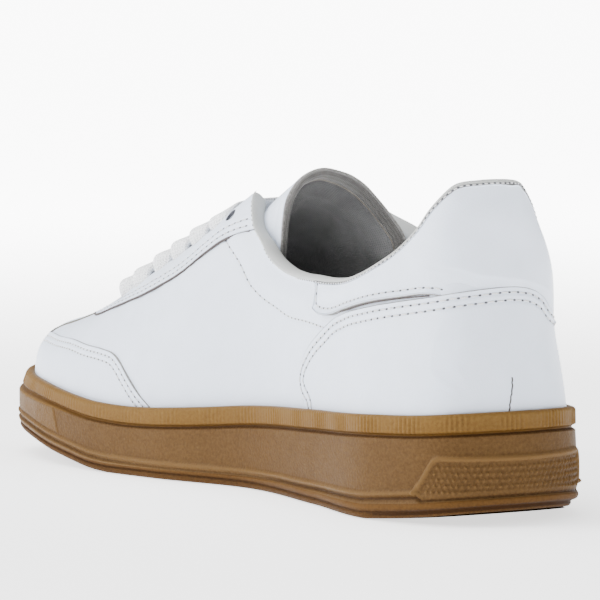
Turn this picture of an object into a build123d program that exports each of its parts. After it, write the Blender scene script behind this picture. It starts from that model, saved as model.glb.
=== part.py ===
from build123d import *
import os

import numpy as np

# A low-cut leather court shoe for the right foot, on a moulded gum rubber cupsole.
# Frame: toe towards -Y, heel towards +Y, inner (medial) side towards +X, up is +Z,
# with the origin on the ground under the middle of the sole. Millimetres.

# ---- Sole: plan outline, from the heel along the medial side to the toe and back ----
SOLE_OUTLINE = [
    (4.6, 139.8), (27.6, 132.8), (39.1, 105.8), (34.1, 61.8), (30.1, 15.8), (42.6, -25.2),
    (48.6, -60.2), (45.6, -99.2), (33.6, -128.2), (13.6, -139.7), (-13.4, -128.7),
    (-34.9, -97.2), (-47.4, -52.2), (-48.4, -17.2), (-41.9, 20.8), (-37.4, 59.8),
    (-34.9, 102.8), (-19.4, 131.8),
]
LIP_PROFILE = [  # (y, z) of the cup's top edge
    (-140, 30.5), (-108, 27.5), (-58, 23), (-43, 22.5), (12, 26.5), (82, 30), (122, 32), (140, 34),
]
GROUND_PROFILE = [  # (y, z) of the tread: toe spring, flat from ball to heel, bevelled heel
    (-140, 9.3), (-118, 4.2), (-98, 1.4), (-78, 0), (108, 0), (122, 1.2), (140, 4),
]
WALL_THICKNESS = 3.7
CUP_FLOOR = [(-134, 14), (-100, 8), (-70, 6.5), (20, 8), (134, 11)]  # top of the cup's floor
BOARD_TOP = [(-134, 19.5), (-100, 13.5), (-70, 12), (20, 16), (134, 22)]  # top of strobel board
BOARD_THICKNESS = 1.6
SOCKLINER_THICKNESS = 4.0
FOOT_INSET = 4.5  # the upper's wall stands this far inside the sole's outline

# ---- Upper: the outer surface rises from the lip to a spine over the foot ----
SPINE = [  # (x, y, z) of the ridge, and behind it of the ankle line the walls lean towards
    (11.6, -106.2, 46.5), (10.1, -88.2, 52), (5.6, -53.2, 69.5), (4.6, -23.2, 84),
    (3.6, -3.2, 98), (1.6, 11.8, 102), (1.6, 31.8, 118), (1.6, 61.8, 145), (3.6, 93.8, 150),
]
SPINE_STATION = [  # (y on the lip, y on the spine) joined by one rib
    (-135.2, -106.2), (-118.2, -102.2), (-93.2, -86.2), (-58.2, -56.2), (1.8, 1.8),
    (61.8, 59.8), (101.8, 85.8), (126.8, 92.8), (134.8, 93.8),
]
RIB_SHAPE = [  # (y on the spine, inward exponent, upward exponent) of the ribs
    (-106.2, 0.78, 0.70), (-58.2, 0.86, 0.85), (-18.2, 0.68, 0.91), (13.8, 0.85, 0.97),
    (61.8, 1.0, 1.03), (93.8, 1.12, 1.4),
]

# ---- Layers of the upper, as distances below the outer surface ----
OVERLAY = (-0.2, 0.9)  # stands proud of the shell
COUNTER = (-0.3, 0.55)
SHELL = (1.4, 2.7)
MIDDLE = (2.9, 4.9)
LINING = (5.1, 5.9)
BINDING = (0.0, 5.9)
EYELET_BACKER = (2.9, 3.6)
TONGUE_LEATHER = (7.2, 8.2)
TONGUE_FOAM = (8.4, 10.8)
TONGUE_LINING = (11.0, 11.8)
TONGUE_EDGE = (7.2, 11.8)

# ---- Lace and eyelets ----
EYELET_STATIONS = [-68.5, -59, -49.5, -39.5, -29.5, -19.5, -10]  # y of each pair
EYELET_OFFSET = 17.5  # from the throat's middle line, in plan
EYELET_RADIUS = 2.4
LACE_RADIUS = 1.1
LACE_ABOVE = 2.0
LACE_BELOW = 4.9
AGLET_RADIUS = 1.2


# ---------------------------------------------------------------------------
# Geometry helpers
# ---------------------------------------------------------------------------
def smooth(table, at):
    """Smooth curve through a table of knots: the first column against the others."""
    rows = np.asarray(table, float)
    knots, values, at = rows[:, 0], rows[:, 1:], np.asarray(at, float)
    at = np.clip(at, knots[0], knots[-1])
    gaps = np.diff(knots)[:, None]
    slopes = np.diff(values, axis=0) / gaps
    inner = (slopes[:-1] * gaps[1:] + slopes[1:] * gaps[:-1]) / (gaps[1:] + gaps[:-1])
    tangents = np.vstack([slopes[:1], inner, slopes[-1:]])
    i = np.clip(np.searchsorted(knots, at, side="right") - 1, 0, len(knots) - 2)
    gap = gaps[i]
    u = (at - knots[i])[..., None] / gap
    start = (2 * u**3 - 3 * u**2 + 1) * values[i] + (u**3 - 2 * u**2 + u) * gap * tangents[i]
    end = (3 * u**2 - 2 * u**3) * values[i + 1] + (u**3 - u**2) * gap * tangents[i + 1]
    return start + end


def outline(s):
    """Point and outward normal of the sole's outline, for s from 0 (heel) round to 1."""
    points = np.asarray(SOLE_OUTLINE, float)
    ring = np.vstack([points[-3:], points, points[:4]])
    lengths = np.concatenate([[0], np.cumsum(np.hypot(*np.diff(ring, axis=0).T))])
    table = np.column_stack([lengths, ring])
    first, total = lengths[3], lengths[3 + len(points)] - lengths[3]
    at = first + (np.asarray(s, float) % 1.0) * total
    step = total * 1e-4
    tangent = smooth(table, at + step) - smooth(table, at - step)
    tangent /= np.linalg.norm(tangent, axis=-1, keepdims=True)
    normal = np.stack([-tangent[..., 1], tangent[..., 0]], -1)
    return smooth(table, at), normal


def inset_outline(s, distance):
    point, normal = outline(s)
    return point - normal * distance


def upper_point(s, t):
    """Outer surface of the upper: s goes round the foot, t from the board (-1) over the lip (0)
    to the spine (1)."""
    s, t = np.broadcast_arrays(np.asarray(s, float), np.asarray(t, float))
    foot = inset_outline(s, FOOT_INSET)
    lip = smooth(LIP_PROFILE, foot[..., 1])[..., 0] - 2.0
    station = smooth(SPINE_STATION, foot[..., 1])[..., 0]
    ridge = smooth([(y, x, z) for x, y, z in SPINE], station)
    shape = smooth(RIB_SHAPE, station)
    rise = np.clip(t, 0, 1) * np.pi / 2
    inward = 1 - np.clip(np.cos(rise), 0, 1) ** shape[..., 0]
    upward = np.sin(rise) ** shape[..., 1]
    board = smooth(BOARD_TOP, foot[..., 1])[..., 0]
    x = foot[..., 0] + (ridge[..., 0] - foot[..., 0]) * inward
    y = foot[..., 1] + (station - foot[..., 1]) * inward
    z = lip + (ridge[..., 1] - lip) * upward + np.clip(t, -1, 0) * (lip - board)
    return np.stack([x, y, z], -1)


def make_cloud():
    """Dense points of the outer surface with their outward normals."""
    s, t = np.meshgrid(np.linspace(0, 1, 720, endpoint=False), np.linspace(-1, 0.996, 360), indexing="ij")
    points = upper_point(s, t)
    along = np.roll(points, -1, 0) - np.roll(points, 1, 0)
    upwards = np.gradient(points, axis=1)
    normals = np.cross(upwards, along)
    normals /= np.linalg.norm(normals, axis=-1, keepdims=True) + 1e-12
    return points.reshape(-1, 3), normals.reshape(-1, 3)


CLOUD, CLOUD_NORMALS = make_cloud()
SEARCH_REACH = 12.0  # along y, when the nearest point of the cloud is looked for
CLOSEST_APART = 0.5  # between the points of a pattern line


def snap(points, neighbours=6):
    """Nearest points of the outer surface, and the outward normals there."""
    flat = np.asarray(points, float).reshape(-1, 3)
    found, normals = np.empty_like(flat), np.empty_like(flat)
    for i, p in enumerate(flat):
        slice_at = np.abs(CLOUD[:, 1] - p[1]) < SEARCH_REACH
        near, near_normals = CLOUD[slice_at], CLOUD_NORMALS[slice_at]
        gaps = ((near - p) ** 2).sum(1)
        best = np.argpartition(gaps, neighbours)[:neighbours]
        weights = 1 / (gaps[best] + 1e-3)
        normal = (near_normals[best] * weights[:, None]).sum(0)
        normal /= np.linalg.norm(normal)
        closest = near[best[np.argmin(gaps[best])]]
        found[i] = p - normal * ((p - closest) @ normal)
        normals[i] = normal
    shape = np.asarray(points).shape
    return found.reshape(shape), normals.reshape(shape)


def trace(points, count):
    """A pattern line on the outer surface, through roughly placed points, in count steps."""
    placed, _ = snap(points)
    apart = np.linalg.norm(np.diff(placed, axis=0), axis=1) > CLOSEST_APART
    placed = placed[np.concatenate([[True], apart])]
    lengths = np.concatenate([[0], np.cumsum(np.linalg.norm(np.diff(placed, axis=0), axis=1))])
    table = np.column_stack([lengths, placed])
    return snap(smooth(table, np.linspace(0, lengths[-1], count)))[0]


def skin_grid(bottom, top, across, along=25, front=None, back=None):
    """Grid of outer-surface points between two pattern lines, both from front to back."""
    low, high = trace(bottom, along), trace(top, along)
    u, v = np.linspace(0, 1, along)[:, None, None], np.linspace(0, 1, across)[None, :, None]
    grid = low[:, None] * (1 - v) + high[:, None] * v
    for edge, end in ((front, 0), (back, -1)):
        if edge is not None:
            side = trace(edge, across)
            share = (1 - u) if end == 0 else u
            grid = grid + share * (side - grid[end])[None]
    return snap(grid)


def layer_face(grid, depth):
    """Face at a depth below the outer surface, and the sign that thickens it inwards."""
    points, normals = grid
    low = points - normals * depth
    rows = [[Vector(*p) for p in row] for row in low.tolist()]
    face = Face.make_surface_from_array_of_points(rows, tol=0.03, smoothing=(1, 0.3, 0.1), max_deg=8)
    middle = normals[normals.shape[0] // 2, normals.shape[1] // 2]
    sign = -1 if face.normal_at().dot(Vector(*middle)) > 0 else 1
    return face, sign


def export(part, name):
    part.label = name
    export_step(part, f"parts/{name}.step")
    print(name, "volume", round(part.volume), "solids", len(part.solids()))


def layer(grid, span):
    """One sheet of the upper between two depths below the outer surface."""
    face, sign = layer_face(grid, span[0])
    with BuildPart() as sheet:
        thicken(to_thicken=face, amount=sign * (span[1] - span[0]))
    return sheet


def mirrored_line(points):
    """The lateral pattern line opposite a medial one: the same y and z on the other wall."""
    lateral = CLOUD[CLOUD[:, 0] < smooth([(y, x) for x, y, z in SPINE], CLOUD[:, 1])[..., 0]]
    found = []
    for _, y, z in points:
        gaps = (lateral[:, 1] - y) ** 2 + (lateral[:, 2] - z) ** 2
        found.append(tuple(lateral[np.argmin(gaps)]))
    return found


def throat_line(offset, stations):
    """Plan line at a distance from the throat's middle, lifted onto the surface."""
    middle = smooth([(y, x, z) for x, y, z in SPINE], stations)
    return [(m[0] + offset, y, m[1]) for m, y in zip(middle, stations)]


def beside(points, distance, count=40):
    """A pattern line moved sideways on the surface, to the left as seen from outside."""
    line, normals = snap(trace(points, count))
    tangents = np.gradient(line, axis=0)
    tangents /= np.linalg.norm(tangents, axis=1, keepdims=True)
    return [tuple(p) for p in line + np.cross(normals, tangents) * distance]


def foot_line(first, last, t, count=24):
    """Line round the foot at a constant t, between two values of s."""
    return [tuple(p) for p in upper_point(np.linspace(first, last, count), np.full(count, t))]


os.makedirs("parts", exist_ok=True)

# ---------------------------------------------------------------------------
# Sole: rubber cup, foam filler, strobel board, sockliner
# ---------------------------------------------------------------------------
LEVEL_TOP = 60.0  # taller than anything in the sole
SIDE_REACH = 150.0  # longer than half the sole
HALF_BREADTH = 70.0
PLY_GAP = 0.25
SOCKLINER_CLEARANCE = 1.4


def plan_points(inset, count=36):
    spots = inset_outline(np.linspace(0, 1, count, endpoint=False), inset)
    return [tuple(p) for p in spots.tolist()]


def side_band(lower, upper):
    """Closed outline in the side view between two (y, z) profiles, as spline points."""
    stations = np.linspace(-SIDE_REACH, SIDE_REACH, 31)
    low = [(float(y), float(z)) for y, z in zip(stations, smooth(lower, stations)[:, 0])]
    high = [(float(y), float(z)) for y, z in zip(stations, smooth(upper, stations)[:, 0])]
    return low, high


def slab(inset, lower, upper):
    """Solid inside the inset outline, between two side profiles."""
    low, high = side_band(lower, upper)
    with BuildPart() as body:
        with BuildSketch(Plane.XY):
            with BuildLine():
                Spline(*plan_points(inset), periodic=True)
            make_face()
        extrude(amount=LEVEL_TOP)
        with BuildSketch(Plane.YZ.offset(-HALF_BREADTH)) as band:
            with BuildLine():
                Spline(*low)
                Line(low[-1], high[-1])
                Spline(*high)
                Line(low[0], high[0])
            make_face()
        extrude(amount=2 * HALF_BREADTH, mode=Mode.INTERSECT)
    return body


def raised(profile, rise):
    return [(y, z + rise) for y, z in profile]


cavity = slab(WALL_THICKNESS, CUP_FLOOR, [(-SIDE_REACH, LEVEL_TOP), (SIDE_REACH, LEVEL_TOP)])
rubber = slab(0, GROUND_PROFILE, LIP_PROFILE)
with BuildPart() as cupsole:
    add(rubber.part)
    add(cavity.part, mode=Mode.SUBTRACT)
export(cupsole.part, "cupsole")

board_bottom = raised(BOARD_TOP, -BOARD_THICKNESS)
filler_bottom, filler_top = raised(CUP_FLOOR, PLY_GAP), raised(board_bottom, -PLY_GAP)
midsole_filler = slab(WALL_THICKNESS + PLY_GAP, filler_bottom, filler_top)
export(midsole_filler.part, "midsole_filler")

strobel_board = slab(WALL_THICKNESS + PLY_GAP, board_bottom, raised(BOARD_TOP, -PLY_GAP))
export(strobel_board.part, "strobel_board")

sockliner_inset = FOOT_INSET + LINING[1] + SOCKLINER_CLEARANCE
sockliner = slab(sockliner_inset, BOARD_TOP, raised(BOARD_TOP, SOCKLINER_THICKNESS))
export(sockliner.part, "sockliner")

# ---------------------------------------------------------------------------
# Pattern lines of the upper, medial side, from front to back
# ---------------------------------------------------------------------------
TOPLINE = [
    (13.5, -3.5, 96), (17, 1.5, 90), (19, 6, 84), (19.5, 11, 80), (21, 16.5, 76), (22.5, 26, 72.5),
    (24, 38, 71), (26.5, 50, 71), (28, 65, 71), (30.5, 81, 73), (31, 94, 77), (29, 102, 81),
    (26.5, 107, 85), (24.5, 110, 88.5), (22.5, 113, 94), (20.5, 115.5, 98), (17, 118, 102),
    (10, 121, 103.5), (2.5, 122.5, 104),
]
CAP_EDGE = [
    (39, -30.5, 23), (40.5, -36, 27), (41, -42, 32.5), (41.5, -47, 37), (41.5, -50.5, 39),
    (41.8, -59, 40.5), (41.5, -68.5, 41), (40, -80.5, 42), (36, -100, 42.5), (29, -112, 43.5),
]
UNDER_CAP = [(42, -45, 22), (43, -56, 30), (43, -72, 33), (38, -98, 35), (26, -116, 39), (13, -111, 45)]
EYESTAY_EDGE = [
    (29, -85, 50), (33, -79, 51), (34, -66, 54), (33.5, -46, 59.5), (32, -35, 63.5), (30, -24.5, 68),
    (27.5, -15.5, 74), (24.5, -7, 79), (22, 1, 81.5), (20.5, 4.5, 82.5),
]
PATCH_FRONT = [(27.5, 54, 59.5), (26.5, 51, 62), (26.3, 50.5, 65.5), (26.5, 51, 68.5)]
PATCH_EDGE = [
    (27.5, 54, 59.5), (28, 59, 59), (29.5, 69, 59.5), (31.5, 84, 62), (32.5, 99, 65),
    (30, 109.5, 67), (25.5, 121.5, 69), (17.5, 128, 70.5), (8, 130, 70.5), (3, 130.5, 70.5),
]
COUNTER_FRONT = [(28, 50, 29), (27.5, 45.5, 32.5), (27, 43, 37), (27, 44, 42), (27, 47.5, 46),
                 (28, 53.5, 50.5), (28.5, 61.5, 55)]
COUNTER_EDGE = [
    (28.5, 61.5, 55), (30.5, 76, 59), (33, 95, 62.5), (30.5, 108.5, 65.5), (24.5, 122.5, 68.5),
    (16.5, 128, 69.5), (6.5, 130, 69.8), (3, 130.5, 69.8),
]
BINDING_HEIGHT = 2.4
SEAM_GAP = 0.8
THROAT_HALF = 9.5
BAR_HALF = 17.0
THROAT_STATIONS = [-78, -66, -54, -42, -30, -18, -8]

lateral_topline = mirrored_line(TOPLINE[:-1]) + TOPLINE[-1:]
medial_seam = beside(TOPLINE, -BINDING_HEIGHT)
medial_under_seam = beside(TOPLINE, -BINDING_HEIGHT - SEAM_GAP)
lateral_under_seam = beside(lateral_topline, BINDING_HEIGHT + SEAM_GAP)
FOOT_LEVEL = -0.97  # the upper's lower edge, just above the strobel board
PUNCH_ABOVE, PUNCH_DEPTH = 3.0, 12.0
HEEL_MEDIAL, HEEL_LATERAL = 0.0012, 0.9988  # s just each side of the back seam


def station_s(y, medial=True):
    """The s of the wall point at a given y, on one side of the foot."""
    s = np.linspace(0.02, 0.48, 400) if medial else np.linspace(0.98, 0.52, 400)
    return float(s[np.argmin(np.abs(inset_outline(s, FOOT_INSET)[:, 1] - y))])


def both_sides(medial_line, middle=()):
    """A line that goes up the medial side, over the middle and down the lateral side."""
    return list(medial_line) + list(middle) + mirrored_line(medial_line)[::-1]


def eyelet_planes(sign):
    """A plane above each eyelet, facing out of the leather; sign is +1 on the medial side."""
    spots, normals = snap(throat_line(sign * EYELET_OFFSET, EYELET_STATIONS))
    return [Plane(Vector(*(p + n * PUNCH_ABOVE)), z_dir=Vector(*n)) for p, n in zip(spots, normals)]


def punched(name, sheet, sign):
    """The sheet with its row of eyelets punched through."""
    with BuildPart() as piece:
        add(sheet.part)
        with Locations(*eyelet_planes(sign)):
            Hole(radius=EYELET_RADIUS, depth=PUNCH_DEPTH)
    export(piece.part, name)


# ---------------------------------------------------------------------------
# Outer leather: side panels, toe cap, toe bar, eyestays, heel counter, collar patch
# ---------------------------------------------------------------------------
PANEL_FRONT_Y = -46
BAR_MIDDLE = [(12, -111, 45.5), (11.2, -98, 49), (12, -90, 52)]

for name, sign, seam, heel in (
    ("side_panel_medial", 1, medial_under_seam, HEEL_MEDIAL),
    ("side_panel_lateral", -1, lateral_under_seam, HEEL_LATERAL),
):
    middle = [(x + sign * SEAM_GAP, y, z) for x, y, z in BAR_MIDDLE]
    throat = throat_line(sign * THROAT_HALF, THROAT_STATIONS)
    bottom = foot_line(station_s(PANEL_FRONT_Y, sign > 0), heel, FOOT_LEVEL)
    hidden = UNDER_CAP[1:-1] if sign > 0 else mirrored_line(UNDER_CAP[1:-1])
    grid = skin_grid(bottom, middle + throat + seam, 11, 41, front=[bottom[0], *hidden, middle[0]])
    punched(name, layer(grid, SHELL), sign)

CAP_BACK_Y = -30.5
CAP_MIDDLE = (12, -114.5, 44.5)
cap_bottom = foot_line(station_s(CAP_BACK_Y), station_s(CAP_BACK_Y, False), FOOT_LEVEL)
cap_top = both_sides(CAP_EDGE, [CAP_MIDDLE])
export(layer(skin_grid(cap_bottom, cap_top, 11, 41), OVERLAY).part, "toe_cap")

BAR_STATIONS = [-111.5, -104, -96, -87.5]
bar = skin_grid(throat_line(-BAR_HALF, BAR_STATIONS), throat_line(BAR_HALF, BAR_STATIONS), 11, 9)
export(layer(bar, OVERLAY).part, "toe_bar")

EYESTAY_TIP = [(18.3, -0.5, 88), (15.2, -6, 93.5)]
EYESTAY_STATIONS = [-82, -70, -58, -46, -34, -22, -12]
BACKER_OFFSETS = (23.5, THROAT_HALF + 1)
BACKER_STATIONS = [-80, -60, -40, -20, -9]
for name, sign in (("eyestay_medial", 1), ("eyestay_lateral", -1)):
    edge = EYESTAY_EDGE if sign > 0 else mirrored_line(EYESTAY_EDGE)
    tip = EYESTAY_TIP if sign > 0 else mirrored_line(EYESTAY_TIP)
    throat = throat_line(sign * THROAT_HALF, EYESTAY_STATIONS) + tip[1:]
    punched(name, layer(skin_grid(edge, throat, 9, 31, back=[edge[-1], *tip]), OVERLAY), sign)
    backer = [throat_line(sign * offset, BACKER_STATIONS) for offset in BACKER_OFFSETS]
    backer_name = name.replace("eyestay", "eyelet_backer")
    punched(backer_name, layer(skin_grid(*backer, 7, 21), EYELET_BACKER), sign)

COUNTER_FRONT_Y = 50
counter_bottom = foot_line(station_s(COUNTER_FRONT_Y), -1 + station_s(COUNTER_FRONT_Y, False), FOOT_LEVEL)
counter_top = both_sides(COUNTER_EDGE)
counter_front = [counter_bottom[0], *COUNTER_FRONT]
counter_back = [counter_bottom[-1], *mirrored_line(COUNTER_FRONT)]
counter = skin_grid(counter_bottom, counter_top, 11, 41, front=counter_front, back=counter_back)
export(layer(counter, COUNTER).part, "heel_counter_overlay")

PATCH_LIFT = 0.5
patch_top = both_sides(medial_under_seam)
patch_from = next(i for i, p in enumerate(patch_top) if p[1] > PATCH_FRONT[-1][1])
patch_top = patch_top[patch_from:-patch_from]
patch_bottom = both_sides(beside(PATCH_EDGE, PATCH_LIFT))
patch = skin_grid(patch_bottom, patch_top, 9, 41)
export(layer(patch, OVERLAY).part, "collar_patch")

binding_low = both_sides(medial_seam)
binding_top = both_sides(beside(TOPLINE, 0))
export(layer(skin_grid(binding_low, binding_top, 3, 61), BINDING).part, "topline_binding")

# ---------------------------------------------------------------------------
# Hidden layers: collar foam, heel stiffener, toe puff, linings
# ---------------------------------------------------------------------------
FOAM_LINE = [
    (24, 6, 70), (24, 8, 65), (23.5, 13.5, 61.5), (23.5, 21.5, 59), (24.5, 32, 56.5), (26.5, 45, 56),
    (28.5, 60, 57), (31.5, 84, 60), (32.5, 99, 63), (30, 109.5, 65), (24, 122.5, 67.5), (8, 130, 69),
]
COLLAR_START_Y = 8
foam_top = both_sides(medial_under_seam)
foam_from = next(i for i, p in enumerate(foam_top) if p[1] > COLLAR_START_Y)
foam_top = foam_top[foam_from:-foam_from]
export(layer(skin_grid(both_sides(FOAM_LINE), foam_top, 9, 51), MIDDLE).part, "collar_foam")

STIFFENER_LINE = [
    (28, 60, 48), (30.5, 78, 55), (32.5, 97, 60), (30, 109.5, 62.5), (24, 123, 65), (8, 130.5, 66),
]
STIFFENER_FRONT_Y = 56
stiffener_bottom = foot_line(
    station_s(STIFFENER_FRONT_Y), -1 + station_s(STIFFENER_FRONT_Y, False), FOOT_LEVEL
)
stiffener = skin_grid(stiffener_bottom, both_sides(STIFFENER_LINE), 9, 41)
export(layer(stiffener, MIDDLE).part, "heel_stiffener")

PUFF_LINE = [(43, -66, 28), (42, -76, 34), (37, -98, 36), (26, -112, 40), (12, -112, 44)]
PUFF_BACK_Y = -64
puff_bottom = foot_line(station_s(PUFF_BACK_Y), station_s(PUFF_BACK_Y, False), FOOT_LEVEL)
puff = skin_grid(puff_bottom, both_sides(PUFF_LINE), 9, 31)
export(layer(puff, MIDDLE).part, "toe_puff")

VAMP_BACK_Y = -16
VAMP_LINE = [(27, -16, 66), (30, -30, 62), (33, -46, 56), (34, -66, 51), (31, -82, 48), (22, -91, 49)]
vamp_bottom = foot_line(station_s(VAMP_BACK_Y), station_s(VAMP_BACK_Y, False), FOOT_LEVEL)
VAMP_MIDDLE = (11, -94, 50)
vamp = skin_grid(vamp_bottom, both_sides(VAMP_LINE, [VAMP_MIDDLE]), 11, 41)
export(layer(vamp, LINING).part, "vamp_lining")

LINING_FRONT = [(26.5, -14, 67), (25.5, -7, 71), (23.5, 1, 74)]
HEEL_LINING_Y = 96
LINING_SPACE = 1.5
for name, sign, seam in (
    ("lining_medial", 1, medial_under_seam),
    ("lining_lateral", -1, lateral_under_seam),
):
    start, end = station_s(VAMP_BACK_Y + LINING_SPACE, sign > 0), station_s(HEEL_LINING_Y, sign > 0)
    front = LINING_FRONT if sign > 0 else mirrored_line(LINING_FRONT)
    rim = [p for p in seam if COLLAR_START_Y < p[1] < HEEL_LINING_Y]
    grid = skin_grid(foot_line(start, end, FOOT_LEVEL), front + rim, 11, 31)
    export(layer(grid, LINING).part, name)

heel_rim = [p for p in both_sides(medial_under_seam) if p[1] > HEEL_LINING_Y + LINING_SPACE]
heel_from = station_s(HEEL_LINING_Y + LINING_SPACE)
heel_to = -1 + station_s(HEEL_LINING_Y + LINING_SPACE, False)
heel_lining = skin_grid(foot_line(heel_from, heel_to, FOOT_LEVEL), heel_rim, 11, 31)
export(layer(heel_lining, LINING).part, "heel_lining")

# ---------------------------------------------------------------------------
# Tongue: leather, foam, textile lining and edge binding, hinged at its stitched root
# ---------------------------------------------------------------------------
TONGUE_SIDE = [(21, -84, 50), (24, -60, 61), (25, -35, 70), (25, -15, 75), (23.5, 0, 76), (22.5, 9, 76)]
TONGUE_END = [(22.5, 9, 76), (20, 13, 86), (15, 17, 96)]
TONGUE_TIP = [(3, 22, 108.5)]
TONGUE_EDGE_WIDTH = 3.5
tongue_sides = (TONGUE_SIDE, mirrored_line(TONGUE_SIDE))
tongue_end = both_sides(TONGUE_END, TONGUE_TIP)
tongue_seam = beside(tongue_end, TONGUE_EDGE_WIDTH + SEAM_GAP)
tongue = skin_grid(*tongue_sides, 21, 25, back=tongue_seam)
export(layer(tongue, TONGUE_LEATHER).part, "tongue_leather")
export(layer(tongue, TONGUE_FOAM).part, "tongue_foam")
export(layer(tongue, TONGUE_LINING).part, "tongue_lining")
tongue_edge = skin_grid(beside(tongue_end, TONGUE_EDGE_WIDTH), tongue_end, 3, 25)
export(layer(tongue_edge, TONGUE_EDGE).part, "tongue_edge_binding")

# ---------------------------------------------------------------------------
# Lace: one cord, laced straight across six pairs of eyelets, both ends tucked inside
# ---------------------------------------------------------------------------
LACED_STATIONS = EYELET_STATIONS[:-1]
BAR_SHOULDER = 8.0
AGLET_OFFSET = 19.0
LACE_END, AGLET_END = -15.5, -8.5  # y where both ends of the lace, and of its tips, lie
AGLET_GAP = 1.0
DIAGONAL = [(-17.5, 13.5), (-30, 6), (-58, -11)]  # (y, offset) of the run under the bars


def lace_point(station, offset, depth):
    spot, normal = snap(throat_line(offset, [station]))
    return tuple((spot - normal * depth)[0].tolist())


def lace_route():
    """The cord's corners, from the medial end to the lateral end."""
    route = [lace_point(LACE_END, AGLET_OFFSET, LACE_BELOW)]
    route += [lace_point(y, offset, LACE_BELOW) for y, offset in DIAGONAL]
    side = -1
    for station in LACED_STATIONS:
        route.append(lace_point(station, side * EYELET_OFFSET, LACE_BELOW))
        for offset in (EYELET_OFFSET, BAR_SHOULDER, -BAR_SHOULDER, -EYELET_OFFSET):
            route.append(lace_point(station, side * offset, -LACE_ABOVE))
        side = -side
        route.append(lace_point(station, side * EYELET_OFFSET, LACE_BELOW))
    return route + [lace_point(LACE_END, -AGLET_OFFSET, LACE_BELOW)]


def bend_radii(route, largest=40):
    """As large a bend at each corner as its two runs allow."""
    points = np.asarray(route)
    runs = np.diff(points, axis=0)
    lengths = np.linalg.norm(runs, axis=1)
    units = runs / lengths[:, None]
    turns = np.arccos(np.clip((units[:-1] * units[1:]).sum(1), -1, 1))
    radii = 0.45 * np.minimum(lengths[:-1], lengths[1:]) / np.tan(turns / 2)
    return np.minimum(radii, largest).tolist()


route = lace_route()
lace_radii = bend_radii(route)
start = Vector(*route[0])
with BuildPart() as lace:
    with BuildLine() as lace_path:
        FilletPolyline(*route, radius=lace_radii)
    with BuildSketch(Plane(start, z_dir=Vector(*route[1]) - start)):
        Circle(LACE_RADIUS)
    sweep(path=lace_path.wires()[0])
lace_length = lace_path.wires()[0].length
print("lace length", round(lace_length), "tightest bend", round(min(lace_radii), 1))
lace_share = lace.part.volume / (lace_length * np.pi * LACE_RADIUS**2)
print("lace volume over section times length", round(lace_share, 3))
export(lace.part, "lace")

with BuildPart() as lace_aglets:
    for sign in (1, -1):
        first = Vector(*lace_point(LACE_END, sign * AGLET_OFFSET, LACE_BELOW))
        last = Vector(*lace_point(AGLET_END, sign * AGLET_OFFSET, LACE_BELOW))
        along = (last - first).normalized()
        with BuildSketch(Plane(first + along * AGLET_GAP, z_dir=along)):
            Circle(AGLET_RADIUS)
        extrude(amount=(last - first).length - AGLET_GAP)
export(lace_aglets.part, "lace_aglets")
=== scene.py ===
import math

import bmesh
import bpy
import numpy as np
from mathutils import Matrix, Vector
from mathutils.kdtree import KDTree


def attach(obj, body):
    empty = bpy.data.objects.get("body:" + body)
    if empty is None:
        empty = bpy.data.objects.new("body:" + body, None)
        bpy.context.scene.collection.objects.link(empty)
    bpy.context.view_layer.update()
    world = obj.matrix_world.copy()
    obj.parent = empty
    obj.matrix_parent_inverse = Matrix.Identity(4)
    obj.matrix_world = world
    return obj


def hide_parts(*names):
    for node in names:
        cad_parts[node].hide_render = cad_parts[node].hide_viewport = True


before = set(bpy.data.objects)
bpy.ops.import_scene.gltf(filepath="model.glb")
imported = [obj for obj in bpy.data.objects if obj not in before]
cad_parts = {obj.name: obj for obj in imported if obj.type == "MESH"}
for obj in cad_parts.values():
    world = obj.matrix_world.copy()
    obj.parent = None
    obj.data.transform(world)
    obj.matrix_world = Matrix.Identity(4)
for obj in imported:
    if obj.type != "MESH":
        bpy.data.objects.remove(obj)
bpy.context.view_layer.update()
MM = 0.001

# ---------------------------------------------------------------------------
# The shoe's surfaces, in millimetres, as in the CAD source.
# Toe towards -Y, heel towards +Y, medial side towards +X, up is +Z.
# ---------------------------------------------------------------------------
SOLE_OUTLINE = [
    (4.6, 139.8), (27.6, 132.8), (39.1, 105.8), (34.1, 61.8), (30.1, 15.8), (42.6, -25.2),
    (48.6, -60.2), (45.6, -99.2), (33.6, -128.2), (13.6, -139.7), (-13.4, -128.7),
    (-34.9, -97.2), (-47.4, -52.2), (-48.4, -17.2), (-41.9, 20.8), (-37.4, 59.8),
    (-34.9, 102.8), (-19.4, 131.8),
]
LIP_PROFILE = [
    (-140, 30.5), (-108, 27.5), (-58, 23), (-43, 22.5), (12, 26.5), (82, 30), (122, 32), (140, 34),
]
WALL_GROUND = [
    (-140, 9.6), (-120, 8.4), (-108, 7.4), (-95, 6.0), (-83, 4.2), (-70, 2.4), (-57, 0.6), (-48, 0),
    (100, 0), (122, 2.0), (140, 4.2),
]
BOARD_TOP = [(-134, 19.5), (-100, 13.5), (-70, 12), (20, 16), (134, 22)]
FOOT_INSET = 4.5
SPINE = [
    (11.6, -106.2, 46.5), (10.1, -88.2, 52), (5.6, -53.2, 69.5), (4.6, -23.2, 84),
    (3.6, -3.2, 98), (1.6, 11.8, 102), (1.6, 31.8, 118), (1.6, 61.8, 145), (3.6, 93.8, 150),
]
SPINE_STATION = [
    (-135.2, -106.2), (-118.2, -102.2), (-93.2, -86.2), (-58.2, -56.2), (1.8, 1.8),
    (61.8, 59.8), (101.8, 85.8), (126.8, 92.8), (134.8, 93.8),
]
RIB_SHAPE = [
    (-106.2, 0.78, 0.70), (-58.2, 0.86, 0.85), (-18.2, 0.68, 0.91), (13.8, 0.85, 0.97),
    (61.8, 1.0, 1.03), (93.8, 1.12, 1.4),
]
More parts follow.
